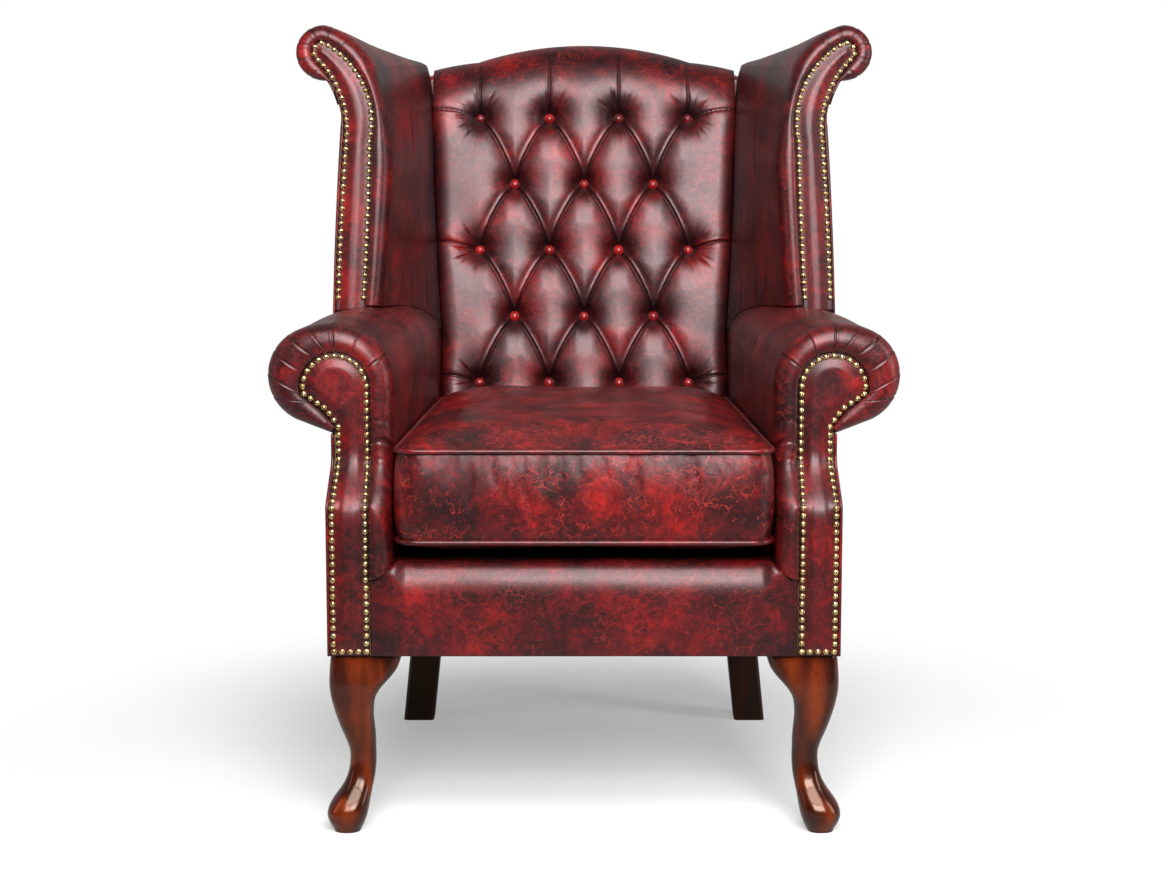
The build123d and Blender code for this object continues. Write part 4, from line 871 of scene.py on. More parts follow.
def facing_grid(inner, outer, foot):
    """Points (x, up) ruled between a facing's two edges, and how far each is from an edge or the foot."""
    cross = np.sin(np.linspace(-np.pi / 2, np.pi / 2, 41))[None, :, None]
    flat = ((inner + outer) / 2)[:, None] + ((outer - inner) / 2)[:, None] * cross
    rim = np.concatenate([inner, outer])
    near = np.hypot(flat[..., None, 0] - rim[:, 0], flat[..., None, 1] - rim[:, 1]).min(-1)
    return flat, np.minimum(near, flat[..., 1] - foot)


def facing_pair(grid, d, piece, node_name):
    """A facing on each side, with painted shade where it tucks in along its edge."""
    recess = 0.75 * (1.0 - smooth((d - 3.0) / 7.0))
    padded_pair(grid, piece, node_name, 7.0, leather_facing, "leather_facing", 0.6, recess=recess)


def make_arm_facings():
    """Leather on the arm fronts, ruled between the two edges up to where they meet round the scroll."""
    tip = 20.0
    inner_x = HEAD[0] - FACING_R
    inner = chain(
        line((inner_x, LEG_HEIGHT), (inner_x, SWEEP_HIGH_Z), 160),
        line((inner_x, SWEEP_HIGH_Z), (inner_x, HEAD[1]), 60),
        circle_arc(HEAD, FACING_R, 180, tip, 90),
    )
    down = circle_arc(HEAD, FACING_R, -10, tip, 20)
    neck = line((FACING_NECK[0], SWEEP_HIGH_Z), FACING_NECK, 40)
    under = line(FACING_NECK, FACING_UNDER, 30)
    head = spread(chain(neck, under, line(FACING_UNDER, down[0], 30), down), 149)
    head = spread(smooth_run(head, 10), 149)
    low = line((FACING_FOOT_X, LEG_HEIGHT), (FACING_FOOT_X, SWEEP_LOW_Z), 110)
    outer = chain(spread(chain(low, line((FACING_FOOT_X, SWEEP_LOW_Z), head[0], 51)), 160), head)
    flat, d = facing_grid(inner, outer[: len(inner)], LEG_HEIGHT)
    set_back = eased_set_back(flat[..., 1], smooth((d - 6.0) / 10.0))
    grid = joined(flat[..., 0], FRONT_Y + set_back - facing_relief(d, 4.0), flat[..., 1])
    facing_pair(grid, d, "arm_front", "arm_facing")


def make_wing_facings():
    """Leather on the wing fronts, ruled between the two edges from above the arm up to the tip."""
    start = 58.0
    run = wing_edge_run()
    split = nearest(run, WING_TIP_SPOT)
    up_inner = run[: split + 1]
    up_outer = run[split:][::-1]
    inner = spread(up_inner[up_inner[:, 1] > start], 320)
    outer = spread(up_outer[up_outer[:, 1] > start - 4.0], 320)
    flat, d = facing_grid(inner, outer, start - 99.0)
    grid = on_wing(flat[..., 0], flat[..., 1], facing_relief(d, 3.4))
    facing_pair(grid, d, "wing_front", "wing_facing")


# Outside panels, front border and deck
PANEL_END_X = (239.0, 243.0, 250.0, 258.0, 266.0, 270.0, 272.0)
PANEL_END_UP = (414.0, 411.5, 410.0, 408.0, 404.0, 399.0, 393.0)


def make_arm_sides():
    """Outside of the arms: a bead turned round the front edge, then a softly swelling panel."""
    z = np.linspace(NECK_Z, LEG_HEIGHT, 90)[None]
    start = FRONT_Y + front_set_back(z)
    turn = np.linspace(np.pi, 0, 9)[:, None]
    bead = 2.2
    share = np.linspace(0, 1, 80)[1:, None]
    y = start + bead + (panel_y(z) - GAP - start - bead) * share
    swell = 1.6 * np.sin(np.pi * share) * np.sin(np.pi * (NECK_Z - z) / (NECK_Z - LEG_HEIGHT))
    swell = swell + 0.5 * ripple(y, z, 7, 61, 120, 280) * smooth(share / 0.1) * smooth((1 - share) / 0.1)
    edge_y = start + bead - bead * np.sin(turn)
    edge = joined(arm_out_at(edge_y) - bead + bead * np.cos(turn), edge_y, z)
    grid = np.concatenate([edge, joined(arm_out_at(y) + swell, y, z)])
    padded_pair(grid, "arm_side", "arm_outside_panel", 1.6, leather, fill=0.4)


def make_outside_back():
    """The back's outside panel, raised a little inside its rim, with piping up its sides and over it."""
    u = np.linspace(-1, 1, 161)[None]
    x = ARM_OUT_REAR * u
    crest_up = (crest_z(x) - LEAN_Z) / cos(BACK_LEAN)
    top = np.where(abs(x) < PANEL_END_X[0], crest_up, np.interp(abs(x), PANEL_END_X, PANEL_END_UP))
    low = (LEG_HEIGHT - LEAN_Z) / cos(BACK_LEAN) - 2.0
    share = np.linspace(0, 1, 110)[:, None]
    up = low + (top - low) * share
    x = x + 0 * up
    rim = np.minimum(1 - abs(u), np.minimum(share, 1 - share) * 3)
    out = -BACK_THICK - 2.6 * smooth(rim / 0.35) - 0.6 * ripple(x, up, 8, 63, 130, 300) * smooth(rim / 0.2)
    grid = on_back(x, up, out)
    thing = shell("outside_back", grid, BACK_PANEL_THICK - 1.0, -1)
    padded_piece(thing, ["back_outside_panel"], leather)
    path = np.concatenate([grid[:-1, 0], grid[-1], grid[:-1, -1][::-1]]) + np.array([0, 1.0, 0])
    piping = round_cord("back_piping", spread(path, 420), 2.4, 10)
    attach(piping, "chair")
    wear(piping, leather_piping)


def make_border():
    """Front border: up its swelling face, round the shoulder and back under the cushion.

    Its top falls at both ends, where the arms' bands come down in front of it.
    """
    x = np.linspace(-BORDER_HALF, BORDER_HALF, 221)[None]
    past = smooth((abs(x) - 225.0) / 26.0)
    top = BORDER_TOP_Z + (ARM_FOOT_Z + foot_rise(x) + 3.0 - BORDER_TOP_Z) * past
    shoulder_high = 46.0 - 38.0 * past
    shoulder_deep = 30.0 - 23.0 * past
    face = np.linspace(0, 1, 46)[:, None]
    z = LEG_HEIGHT + (top - shoulder_high - LEG_HEIGHT) * face
    ends = smooth((BORDER_HALF - abs(x)) / 30.0)
    y = FRONT_Y + 1.0 - 5.0 * np.sin(np.pi / 2 * np.clip(face + 0.04, 0, 1)) ** 0.8 * ends
    turn = np.linspace(0, np.pi / 2, 26)[1:, None]
    rim_y = y[-1:] + shoulder_deep * (1 - np.cos(turn))
    rim_z = z[-1:] + shoulder_high * np.sin(turn)
    flat = np.linspace(0, 1, 16)[1:, None]
    top_y = rim_y[-1:] + (FRONT_Y + DECK_SET_BACK - rim_y[-1:]) * flat
    top_z = rim_z[-1:] - 1.5 * np.sin(np.pi * flat) + 0 * top_y
    y = np.concatenate([y, rim_y, top_y])
    z = np.concatenate([z, rim_z, top_z])
    wave = 0.35 * ripple(x + 0 * y, z, 8, 71, 70, 220) * ends
    # Painted shade over the top where it runs back under the cushion, and at both ends beside the arms.
    shade_paint = 0.7 * smooth((z - 352.0) / 8.0) * smooth((y - FRONT_Y - 12.0) / 12.0) + 0.5 * (1 - ends)
    thing = shell("border_front", joined(x, y - wave, z), 6.0, 1, recess=shade_paint)
    padded_piece(thing, ["front_border"], leather)


def make_deck():
    """Deck under the cushion: a low dome with a seam line across it near the front."""
    share = np.linspace(0, 1, 90)[:, None]
    u = np.linspace(-1, 1, 90)[None]
    y0 = FRONT_Y + DECK_SET_BACK + GAP
    y = y0 + (back_y(DECK_TOP_Z) - 1.0 - y0) * share + 0 * u
    rim = np.minimum(1 - abs(u), np.minimum(share, 1 - share) * 1.6)
    z = DECK_TOP_Z - 7.0 * (1 - smooth(rim / 0.12)) - 1.2 * hump(share - 0.2, 0.008)
    thing = shell("deck", joined(u * (arm_in_at(y) - 1.0), y, z)[:, ::-1], 26.0, 1)
    padded_piece(thing, ["seat_platform"], leather)


# Loose seat cushion: middle and reach of the puckers at its front corners, and where their fan starts
PUCKER_X = 232.0
PUCKER_Y = FRONT_Y + 10.0
PUCKER_REACH = 46.0
FAN_X = 250.0
FAN_Y = FRONT_Y - 8.0


def cushion_ring(z, inset, count):
    """Outline of the cushion at height z, inset from its seam: a tapering oblong with round corners."""
    y0 = FRONT_Y - CUSHION_FRONT + inset
    y1 = back_y(max(z, SEAM_LOW_Z)) - CUSHION_REAR_GAP - WELT_R - inset
    side = CUSHION_GAP + WELT_R + inset
    x0 = arm_in_at(y0) - side
    x1 = arm_in_at(y1) - side
    corners = np.array([(x0, y0), (x1, y1), (-x1, y1), (-x0, y0)])
    middle_front = np.array([(0.0, y0)])
    run = [middle_front]
    for i, corner in enumerate(corners):
        to_last = corners[i - 1] - corner
        to_next = corners[(i + 1) % 4] - corner
        to_last = to_last / np.linalg.norm(to_last)
        to_next = to_next / np.linalg.norm(to_next)
        half = np.arccos(np.clip(to_last @ to_next, -1, 1)) / 2
        reach = CUSHION_CORNER_R / np.tan(half)
        inward = (to_last + to_next) / np.linalg.norm(to_last + to_next)
        middle = corner + inward * CUSHION_CORNER_R / np.sin(half) - inward * CUSHION_CORNER_R
        run.append(arc_through(corner + to_last * reach, middle, corner + to_next * reach, 24))
    ring = spread(np.concatenate([*run, middle_front]), count + 1)[:-1]
    return np.concatenate([ring, np.full((count, 1), float(z))], 1)


def points_of(mesh):
    """Points of a mesh in millimetres."""
    flat = np.empty(3 * len(mesh.vertices))
    mesh.vertices.foreach_get("co", flat)
    return flat.reshape(-1, 3) / MM


def settle(thing, pins, cap, keep_clear):
    """Blows a closed piece up a little as cloth, held at its seams, so that its panels settle into a puff.

    The mesh is remade in even 5 mm cells, run as Cloth under a light pressure with gravity off, and each
    point's way is cut to the cap and to the room around the piece.
    """
    scene = bpy.context.scene
    even = thing.modifiers.new("even", "REMESH")
    even.mode = "VOXEL"
    even.voxel_size = 5 * MM
    graph = bpy.context.evaluated_depsgraph_get()
    mesh = bpy.data.meshes.new_from_object(thing.evaluated_get(graph))
    thing.modifiers.clear()
    thing.data = mesh
    start = points_of(mesh)
    group = thing.vertex_groups.new(name="seams")
    group.add(np.nonzero(pins(start))[0].tolist(), 1.0, "REPLACE")
    cloth = thing.modifiers.new("cloth", "CLOTH")
    cloth.settings.vertex_group_mass = "seams"
    cloth.settings.use_pressure = True
    cloth.settings.uniform_pressure_force = 4.0
    cloth.settings.shrink_min = -0.008
    cloth.settings.effector_weights.gravity = 0.0
    cloth.point_cache.frame_start = 1
    cloth.point_cache.frame_end = CUSHION_FRAMES
    for frame_number in range(1, CUSHION_FRAMES + 1):
        scene.frame_set(frame_number)
    graph = bpy.context.evaluated_depsgraph_get()
    way = points_of(thing.evaluated_get(graph).data) - start
    thing.modifiers.clear()
    thing.vertex_groups.clear()
    scene.frame_set(1)
    length = np.linalg.norm(way, axis=1, keepdims=True)
    moved = keep_clear(start + way * np.minimum(1, cap / np.maximum(length, 1e-6)))
    mesh.vertices.foreach_set("co", (moved * MM).ravel())
    mesh.polygons.foreach_set("use_smooth", [True] * len(mesh.polygons))
    mesh.update()
    finer = thing.modifiers.new("finer", "SUBSURF")
    finer.levels = 1
    finer.render_levels = 1


def near_seams(points):
    """Which points lie within 5 mm of the height of a seam."""
    return np.minimum(abs(points[:, 2] - SEAM_TOP_Z), abs(points[:, 2] - SEAM_LOW_Z)) < 5.0


def cushion_room(points):
    """Keeps the cushion's points clear of the deck, the arms and the back."""
    x, y, z = points.T
    side = arm_in_at(y) - CUSHION_GAP - 0.5
    rear = back_y(np.maximum(z, SEAM_LOW_Z)) - CUSHION_REAR_GAP
    return np.stack([np.clip(x, -side, side), np.minimum(y, rear), np.maximum(z, DECK_TOP_Z + 0.5)], 1)


def shrunk_ring(ring, share, z):
    """A ring drawn in by a share towards the cushion's middle, at height z."""
    centre = np.array([0.0, CUSHION_MIDDLE_Y])
    flat = centre + (ring[:, :2] - centre) * (1 - share)
    return np.concatenate([flat, np.full((len(ring), 1), z)], 1)


def make_cushion():
    """Seat cushion: rings from its underside out to the low seam, up the boxing and in over the crown."""
    count = 420
    low_z = DECK_TOP_Z + 0.6
    bottom = cushion_ring(SEAM_LOW_Z, 0.5, count)
    top = cushion_ring(SEAM_TOP_Z, 1.0, count)
    rings = []
    for f in np.linspace(1, 0, 22)[1:]:
        rings.append(shrunk_ring(bottom, f, low_z + (SEAM_LOW_Z - 1.5 - low_z) * (1 - f) ** 14))
    for t in np.linspace(0, 1, 40)[1:-1]:
        z = SEAM_LOW_Z + (SEAM_TOP_Z - SEAM_LOW_Z) * t
        rings.append(cushion_ring(z, 3.0 - 5.0 * np.sin(np.pi * t) ** 0.6, count))
    for f in np.concatenate([np.linspace(0, 0.16, 22), np.linspace(0.16, 1, 70)[1:]]):
        rings.append(shrunk_ring(top, f, SEAM_TOP_Z + 1.5 + CUSHION_CROWN * (1 - (1 - f) ** 6.5)))
    grid = np.array(rings)
    rows = len(grid)
    outward = grid_normals(grid)
    outward = outward * np.sign((outward * (grid - np.array([0, CUSHION_MIDDLE_Y, 440.0]))).sum(-1).mean())
    x, y, z = grid[..., 0], grid[..., 1], grid[..., 2]
    side = (z > SEAM_LOW_Z + 2) & (z < SEAM_TOP_Z - 2)
    wave = 0.7 * ripple(x + y, z * 1.4, 9, 81, 60, 190) * side
    above = z > SEAM_TOP_Z + 3
    wave = wave + 0.9 * ripple(x, y, 9, 83, 90, 260) * above * smooth((z - SEAM_TOP_Z) / 16.0)
    corner = hump(np.hypot(abs(x) - PUCKER_X, y - PUCKER_Y), PUCKER_REACH)
    fan = np.arctan2(y - FAN_Y, abs(abs(x) - FAN_X) + 1.0)
    pucker = corner * np.clip(np.sin(fan * 17.0), 0, 1) * above
    grid = grid + outward * (wave - 0.9 * pucker)[..., None]
    faces = grid_faces(rows, count, False, True).tolist()
    faces += [list(range(count)), list(range((rows - 1) * count, rows * count))]
    thing = make_mesh("seat_cushion_leather", grid, faces)
    settle(thing, near_seams, 6.0, cushion_room)
    z = points_of(thing.data)[:, 2]
    # Painted shade along both seams, beside the piping.
    add_layer(thing.data, "recess", 0.55 * (hump(z - SEAM_TOP_Z, 4.0) + hump(z - SEAM_LOW_Z, 5.0)))
    padded_piece(thing, ["cushion_cover", "cushion_core"], leather_seat, body="seat_cushion")
    for label, z in (("low", SEAM_LOW_Z), ("top", SEAM_TOP_Z)):
        cord = round_cord(f"cushion_piping_{label}", cushion_ring(z, 0.0, count), WELT_R - 0.4, 12, True)
        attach(cord, "seat_cushion")
        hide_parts(f"cushion_welt_{label}")
        wear(cord, leather_piping)


def make_under_cloth():
    """Cloth tacked under the seat: a flat grid that sags a little, with its corners cut round the legs."""
    inset = 6.0
    start = FRONT_Y + 10.0
    half_front = arm_out_at(start) - inset
    end = panel_y(LEG_HEIGHT) - GAP
    y = np.unique(np.concatenate([np.linspace(start, end, 60), [FRONT_LEG_BACK_Y]]))
    x = np.linspace(-half_front, half_front, 64)
    x = np.unique(np.concatenate([x, [-FRONT_LEG_IN_X, FRONT_LEG_IN_X]]))
    gx, gy = np.meshgrid(x, y)
    tapered = gx * np.minimum((arm_out_at(gy) - inset) / half_front, 1)
    px = np.where(abs(gx) < FRONT_LEG_IN_X + 0.1, gx, tapered)
    rim = np.minimum(1 - abs(gx) / half_front, np.minimum(gy - start, end - gy) / 300.0)
    z = LEG_HEIGHT - 1.2 - 3.0 * smooth(rim / 0.5)
    faces = grid_faces(len(y), len(x))
    face_x = abs(gx.ravel()[faces].mean(1))
    face_y = gy.ravel()[faces].mean(1)
    front_leg = (face_x > FRONT_LEG_IN_X) & (face_y < FRONT_LEG_BACK_Y)
    rear_leg = (face_x > REAR_LEG_IN_X) & (face_y > REAR_LEG_FRONT_Y)
    mesh = bpy.data.meshes.new("under_cloth")
    points = joined(px, gy, z).reshape(-1, 3) * MM
    mesh.from_pydata(points.tolist(), [], faces[~(front_leg | rear_leg)].tolist())
    thing = new_object("under_cloth", mesh)
    work = bmesh.new()
    work.from_mesh(mesh)
    bmesh.ops.delete(work, geom=[v for v in work.verts if not v.link_faces], context="VERTS")
    work.to_mesh(mesh)
    work.free()
    wall = thing.modifiers.new("cloth", "SOLIDIFY")
    wall.thickness = 0.7 * MM
    wall.offset = 0
    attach(thing, "chair")
    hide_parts("dust_cover")
    wear(thing, dust_cloth)


# Materials
def linear(code):
    """Linear colour from an sRGB hex code."""
    parts = [int(code[i : i + 2], 16) / 255 for i in (1, 3, 5)]
    return [p / 12.92 if p <= 0.04045 else ((p + 0.055) / 1.055) ** 2.4 for p in parts] + [1.0]


def per_metre(size_mm):
    """Texture scale for a pattern whose features are this many millimetres apart."""
    return 1000.0 / size_mm


def node(tree, kind, inputs=None, stops=None, **settings):
    """Adds a node and returns its outputs: inputs are values or links, stops a ramp's colours."""
    made = tree.nodes.new(kind)
    for key, value in settings.items():
        setattr(made, key, value)
    for key, value in (inputs or {}).items():
        if isinstance(value, bpy.types.NodeSocket):
            tree.links.new(value, made.inputs[key])
        else:
            made.inputs[key].default_value = value
    if stops:
        band = made.color_ramp.elements
        while len(band) < len(stops):
            band.new(0.5)
        for element, (place, colour) in zip(band, stops):
            element.position = place
            element.color = linear(colour) if isinstance(colour, str) else (colour, colour, colour, 1.0)
    return made.outputs


def calc(tree, operation, *values):
    """Result of a sum on values or links."""
    return node(tree, "ShaderNodeMath", dict(enumerate(values)), operation=operation)[0]


def vector_calc(tree, operation, inputs):
    """Result of a sum on vectors."""
    return node(tree, "ShaderNodeVectorMath", inputs, operation=operation)[0]


def noise(tree, place, size_mm, detail, roughness=0.5):
    """Cloudy noise with features this far apart, as a value and a colour."""
    inputs = {"Vector": place, "Scale": per_metre(size_mm), "Detail": detail, "Roughness": roughness}
    return node(tree, "ShaderNodeTexNoise", inputs)


def ramp(tree, value, *stops):
    """Colour or number that a value leads to, from places and what they hold."""
    return node(tree, "ShaderNodeValToRGB", {0: value}, stops)[0]


def mixed_colour(tree, share, low, high):
    """A colour between two, by a share."""
    return node(tree, "ShaderNodeMix", {0: share, 6: low, 7: high}, data_type="RGBA")[2]


def bumped(tree, height, strength, distance):
    """Normal that a height map gives, with the height of its relief in metres."""
    return node(tree, "ShaderNodeBump", {"Height": height, "Strength": strength, "Distance": distance})[0]


def new_material(name):
    """A new material with its empty node tree and the link to a piece's own coordinates."""
    material = bpy.data.materials.new(name)
    material.use_nodes = True
    tree = material.node_tree
    tree.nodes.clear()
    return material, tree, node(tree, "ShaderNodeTexCoord")["Object"]


def finish(tree, **sockets):
    """Ends a material with one shader whose sockets have these values or links."""
    named = {key.replace("_", " "): value for key, value in sockets.items()}
    skin = node(tree, "ShaderNodeBsdfPrincipled", named)
    node(tree, "ShaderNodeOutputMaterial", {"Surface": skin["BSDF"]})


# The hide's colours from the darkest cloud to where the top coat is rubbed through, and its vein networks
# as the size of their cells, the width of the veins, the size of their gaps, and their strength
HIDE_COLOURS = ((0.36, "#0e0203"), (0.45, "#270405"), (0.52, "#460709"), (0.59, "#6a0b0c"), (0.69, "#a01510"))
VEINS = ((27, 0.020, 15, 1.0), (10, 0.045, 8, 0.7))


def antique_leather(name, rub, dark, tone=0.0, gloss=0.0):
    """Corrected-grain cow hide, dyed oxblood, with a dark top coat rubbed off by hand and a glossy finish.

    That gives a deep burgundy with near-black clouds, bright red where the top coat is rubbed through,
    hair-fine broken veins where the hide has creased, and a soft wide gloss over a fine pebble grain.
    """
    material, tree, place = new_material(name)
    bend = noise(tree, place, 50, 3.0)["Color"]
    moved = vector_calc(tree, "SCALE", {0: bend, "Scale": 0.04})
    warped = vector_calc(tree, "ADD", {0: place, 1: moved})
    cloud = noise(tree, warped, 80, 7.0, 0.66)[0]
    fleck = noise(tree, warped, 9, 6.0, 0.7)[0]
    mottle = calc(tree, "MULTIPLY_ADD", cloud, 0.66, calc(tree, "MULTIPLY", fleck, 0.34))
    level = calc(tree, "ADD", mottle, tone)
    base = ramp(tree, level, *HIDE_COLOURS)
    jag = noise(tree, place, 8, 5.0)["Color"]
    jagged = vector_calc(tree, "SCALE", {0: jag, "Scale": 0.011})
    along = vector_calc(tree, "ADD", {0: warped, 1: jagged})
    patch = noise(tree, place, 85, 3.0)[0]
    veins = 0.0
    for size, thin, gap_size, strength in VEINS:
        cells = {"Vector": along, "Scale": per_metre(size)}
        away = node(tree, "ShaderNodeTexVoronoi", cells, feature="DISTANCE_TO_EDGE")["Distance"]
        lines = ramp(tree, away, (0.0, 1.0), (thin, 0.0))
        share = calc(tree, "ADD", patch, noise(tree, along, gap_size, 2.0)[0])
        where = ramp(tree, share, (0.97, 0.0), (1.0, 1.0))
        broken = calc(tree, "MULTIPLY", lines, where)
        veins = calc(tree, "MULTIPLY_ADD", broken, strength * rub, veins)
    veined = mixed_colour(tree, veins, base, linear("#a02c25"))
    # Painted shade: the layer read here, times dark, pulls the colour towards near-black in pits, creases and
    # corners.
    recess = node(tree, "ShaderNodeAttribute", attribute_name="recess")["Fac"]
    colour = mixed_colour(tree, calc(tree, "MULTIPLY", recess, dark), veined, linear("#0a0102"))
    pebble = {"Vector": warped, "Scale": per_metre(1.8)}
    grain = node(tree, "ShaderNodeTexVoronoi", pebble)["Distance"]
    crease = noise(tree, warped, 8, 7.0, 0.72)[0]
    height = calc(tree, "MULTIPLY_ADD", crease, 1.2, calc(tree, "MULTIPLY", grain, 0.30))
    finish(
        tree,
        Base_Color=colour,
        Roughness=ramp(tree, crease, (0.3, 0.36 - gloss), (0.7, 0.46 - gloss)),
        Specular_IOR_Level=0.45,
        Specular_Tint=(1.0, 0.7, 0.73, 1.0),
        Coat_Weight=0.18,
        Coat_Roughness=0.3,
        Normal=bumped(tree, height, 0.14, 0.0011),
    )
    return material


def polished_wood(name, low, middle, high, gloss, coat):
    """Mahogany, sanded, stained and French polished: warm brown-red with soft dark grain along it."""
    material, tree, place = new_material(name)
    stretched = node(tree, "ShaderNodeMapping", {"Vector": place, "Scale": (1.0, 1.0, 0.14)})[0]
    bend = noise(tree, stretched, 26, 3.0)[0]
    bands = {"Vector": stretched, "Scale": per_metre(90), "Distortion": 9.0, "Detail": 3.0}
    rings = node(tree, "ShaderNodeTexWave", bands, wave_type="BANDS", bands_direction="DIAGONAL")[1]
    pores = noise(tree, stretched, 1.6, 3.0)[0]
    figure = calc(tree, "MULTIPLY_ADD", bend, 0.7, calc(tree, "MULTIPLY", rings, 0.3))
    base = ramp(tree, figure, (0.25, low), (0.5, middle), (0.78, high))
    dots = ramp(tree, pores, (0.3, 0.45), (0.45, 0.0))
    finish(
        tree,
        Base_Color=mixed_colour(tree, dots, base, linear(low)),
        Roughness=gloss,
        Specular_IOR_Level=0.4,
        Specular_Tint=(1.0, 0.62, 0.42, 1.0),
        Coat_Weight=coat,
        Coat_Roughness=0.1,
        Normal=bumped(tree, pores, 0.04, 0.0004),
    )
    return material


def plain_timber():
    """Sawn beech for the hidden frame: pale, dry, with fine fibres along its length."""
    material, tree, place = new_material("frame_beech")
    fibres = noise(tree, place, 5, 4.0)[0]
    colour = ramp(tree, fibres, (0.3, "#a98258"), (0.7, "#c9a377"))
    finish(tree, Base_Color=colour, Roughness=0.7, Normal=bumped(tree, fibres, 0.2, 0.0005))
    return material


def worn_metal(name, dark, light, rough):
    """Metal with soft tarnish: colour and gloss both follow its 4 mm spots, and a low bump marks them."""
    material, tree, place = new_material(name)
    spots = noise(tree, place, 4.0, 4.0)[0]
    colour = ramp(tree, spots, (0.32, dark), (0.66, light))
    gloss = ramp(tree, spots, (0.3, rough + 0.12), (0.7, rough))
    finish(tree, Base_Color=colour, Metallic=1.0, Roughness=gloss, Normal=bumped(tree, spots, 0.15, 0.0003))
    return material


def woven(name, dark, light, thread_mm, rough):
    """Plain weave: two crossed sine waves a thread apart, which tint the cloth and raise its threads."""
    material, tree, place = new_material(name)
    parts = node(tree, "ShaderNodeSeparateXYZ", {0: place})
    turns = 2 * np.pi * per_metre(2 * thread_mm)
    waves = []
    for side in (parts[0], calc(tree, "ADD", parts[1], parts[2])):
        waves.append(calc(tree, "SINE", calc(tree, "MULTIPLY", side, turns)))
    half = calc(tree, "MULTIPLY_ADD", calc(tree, "MULTIPLY", *waves), 0.5, 0.5)
    colour = ramp(tree, half, (0.1, dark), (0.9, light))
    finish(tree, Base_Color=colour, Roughness=rough, Normal=bumped(tree, half, 0.5, 0.0006))
    return material


# The third number of each hide sets how strongly its painted shade darkens it.
leather = antique_leather("oxblood_hide", 0.45, 0.9)
leather_seat = antique_leather("oxblood_hide_seat", 0.9, 0.8, 0.02)
leather_facing = antique_leather("oxblood_hide_facing", 0.3, 0.9)
leather_piping = antique_leather("oxblood_hide_piping", 0.2, 0.3, 0.02, 0.05)
# The buttons' hide is a brighter copy of the hide: painted light, so they read as lit inside their dark pits.
button_hide_painted_light = antique_leather("oxblood_hide_button", 0.0, 0.0, 0.11, 0.1)
leg_wood = polished_wood("polished_mahogany", "#140402", "#3c0f04", "#782b08", 0.25, 0.28)
# The rear legs' wood is a darker copy of the front legs': painted shade for legs that stand under the seat.
rear_leg_wood_painted_shade = polished_wood("dark_mahogany", "#0a0302", "#1c0704", "#300e07", 0.4, 0.1)
beech = plain_timber()
brass = worn_metal("antique_brass", "#6e5128", "#e0c48c", 0.2)
steel = worn_metal("spring_steel", "#55565a", "#8b8c90", 0.36)
hessian = woven("jute_hessian", "#7a5c39", "#b08e60", 1.6, 0.9)
webbing = woven("jute_webbing", "#8a6d45", "#c0a274", 1.2, 0.9)
dust_cloth = woven("black_lining_cloth", "#0b0b0c", "#1b1b1d", 0.9, 0.95)

make_back()
make_arms()
make_wings()
make_arm_facings()
make_wing_facings()
make_arm_sides()
make_outside_back()
make_border()
make_deck()
make_cushion()
make_under_cloth()

FINISHES = {
    "front_leg": leg_wood,
    "rear_leg": rear_leg_wood_painted_shade,
    "arm_nails": brass,
    "wing_nails": brass,
    "back_buttons": button_hide_painted_light,
    "seat_springs": steel,
    "spring_clips": steel,
    "leg_bolts": steel,
    "spring_hessian": hessian,
    "back_webbing": webbing,
}
for name, cad_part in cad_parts.items():
    stem = name.replace("_right", "").replace("_left", "")
    wear(cad_part, FINISHES.get(stem, beech))


# Floor, backdrop, light and camera
def eased_range(tree, value, start, end, low, high):
    """A value led smoothly from low at start to high at end."""
    inputs = {0: value, 1: start, 2: end, 3: low, 4: high}
    return node(tree, "ShaderNodeMapRange", inputs, interpolation_type="SMOOTHSTEP")[0]


def backdrop_share(tree, along, start, end):
    """How much backdrop a ray sees: all for an eye or glass, part for polish on its side, else none."""
    rays = node(tree, "ShaderNodeLightPath")
    depth = node(tree, "ShaderNodeSeparateXYZ", {0: along})[1]
    behind = eased_range(tree, depth, start, end, 0.0, POLISH_SHARE)
    mirror = calc(tree, "MULTIPLY", rays["Is Glossy Ray"], behind)
    eye = calc(tree, "MAXIMUM", rays["Is Camera Ray"], rays["Is Transmission Ray"])
    return calc(tree, "MAXIMUM", eye, mirror)


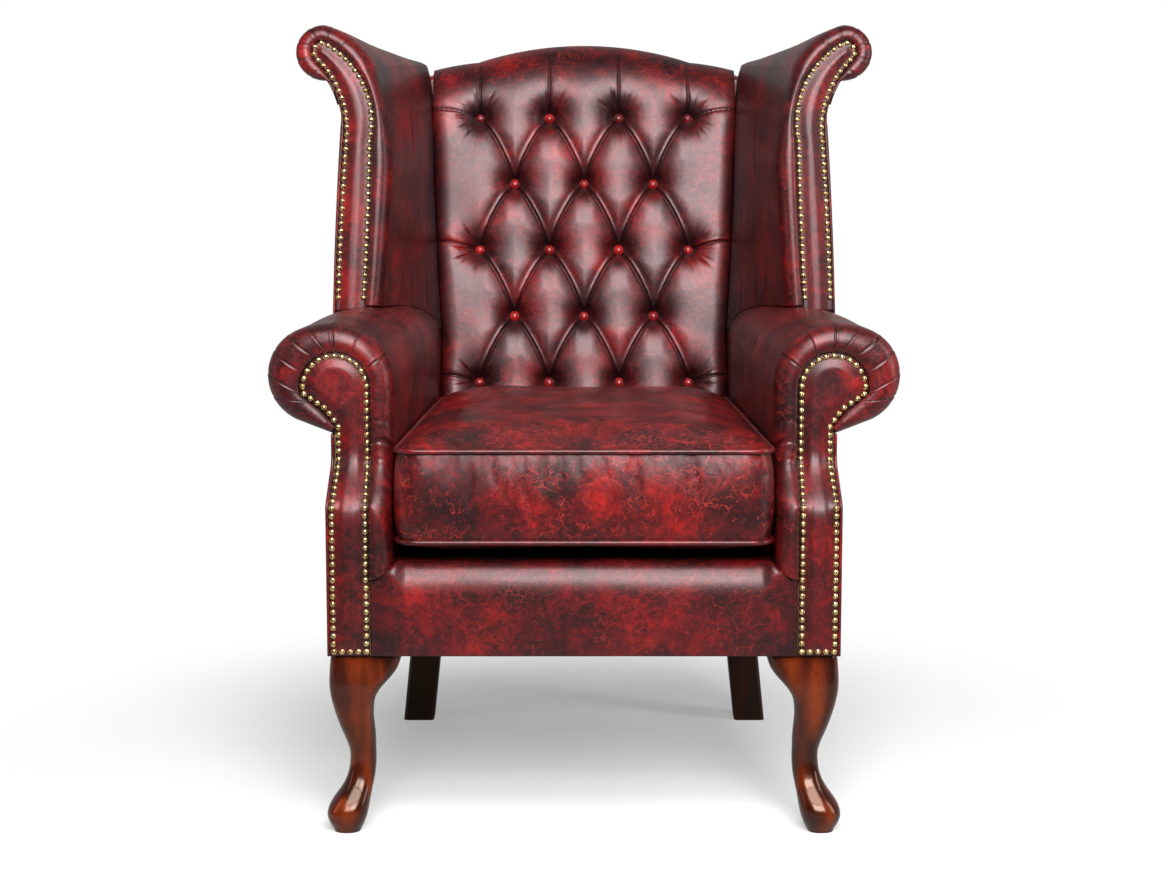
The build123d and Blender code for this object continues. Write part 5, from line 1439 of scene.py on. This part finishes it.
def pale_floor():
    """White studio floor: it takes the chair's shadow, and blends into the white backdrop away from it."""
    material, tree, place = new_material("pale_floor")
    flat = vector_calc(tree, "MULTIPLY", {0: place, 1: (1.0, 1.0, 0.0)})
    far = node(tree, "ShaderNodeVectorMath", {0: flat}, operation="LENGTH")[1]
    away = eased_range(tree, far, FLOOR_PLAIN, FLOOR_WHITE, FLOOR_GLOW, 1.0)
    seen = backdrop_share(tree, place, -1.3, -0.8)
    colour = mixed_colour(tree, seen, (0.14, 0.14, 0.14, 1.0), (0.88, 0.88, 0.88, 1.0))
    matt = node(tree, "ShaderNodeBsdfDiffuse", {"Color": colour})[0]
    white = node(tree, "ShaderNodeEmission", {"Strength": 1.0})[0]
    glow = calc(tree, "MULTIPLY", away, seen)
    surface = node(tree, "ShaderNodeMixShader", {0: glow, 1: matt, 2: white})[0]
    node(tree, "ShaderNodeOutputMaterial", {"Surface": surface})
    return material


floor_mesh = bpy.data.meshes.new("floor")
floor_mesh.from_pydata([(-30, -30, 0), (30, -30, 0), (30, 30, 0), (-30, 30, 0)], [], [(0, 1, 2, 3)])
floor = new_object("floor", floor_mesh)
wear(floor, pale_floor())

# The backdrop behind the chair is white to the eye and in polish; the room in front has only its lamps
world = bpy.data.worlds.new("studio")
bpy.context.scene.world = world
world.use_nodes = True
world.node_tree.nodes.clear()
room = world.node_tree
seen = backdrop_share(room, node(room, "ShaderNodeTexCoord")["Generated"], 0.0, 0.4)
dim = node(room, "ShaderNodeBackground", {"Color": (1.0, 1.0, 1.0, 1.0), "Strength": ROOM_LIGHT})[0]
white = node(room, "ShaderNodeBackground", {"Color": (1.0, 1.0, 1.0, 1.0), "Strength": 1.0})[0]
backdrop = node(room, "ShaderNodeMixShader", {0: seen, 1: dim, 2: white})[0]
node(room, "ShaderNodeOutputWorld", {"Surface": backdrop})


def lamp(name, place, aim, size, power):
    """Soft oblong lamp at a place, turned to what it lights."""
    data = bpy.data.lights.new(name, "AREA")
    data.shape = "RECTANGLE"
    data.size, data.size_y = size
    data.energy = power
    thing = new_object(name, data)
    thing.location = place
    thing.rotation_euler = (Vector(aim) - Vector(place)).to_track_quat("-Z", "Y").to_euler()


lamp("front", (0.35, -3.7, 2.5), (0, 0.2, 0.8), (2.2, 1.5), 210)
lamp("top", (0.1, -2.1, 2.8), (0, -0.2, 0.4), (2.2, 1.0), 80)
lamp("left_strip", (-2.2, -0.9, 1.3), (0, 0.0, 0.7), (0.5, 1.8), 5)
lamp("right_strip", (2.2, -0.9, 1.3), (0, 0.0, 0.7), (0.5, 1.8), 20)

camera_data = bpy.data.cameras.new("camera")
camera_data.sensor_width = 36.0
camera_data.lens = 72.31
camera = new_object("camera", camera_data)
camera.location = (0.0, -3.3335, 0.9184)
camera.rotation_euler = (radians(90 - 7.767), 0, 0)
bpy.context.scene.camera = camera
bpy.context.scene.view_settings.view_transform = "Standard"
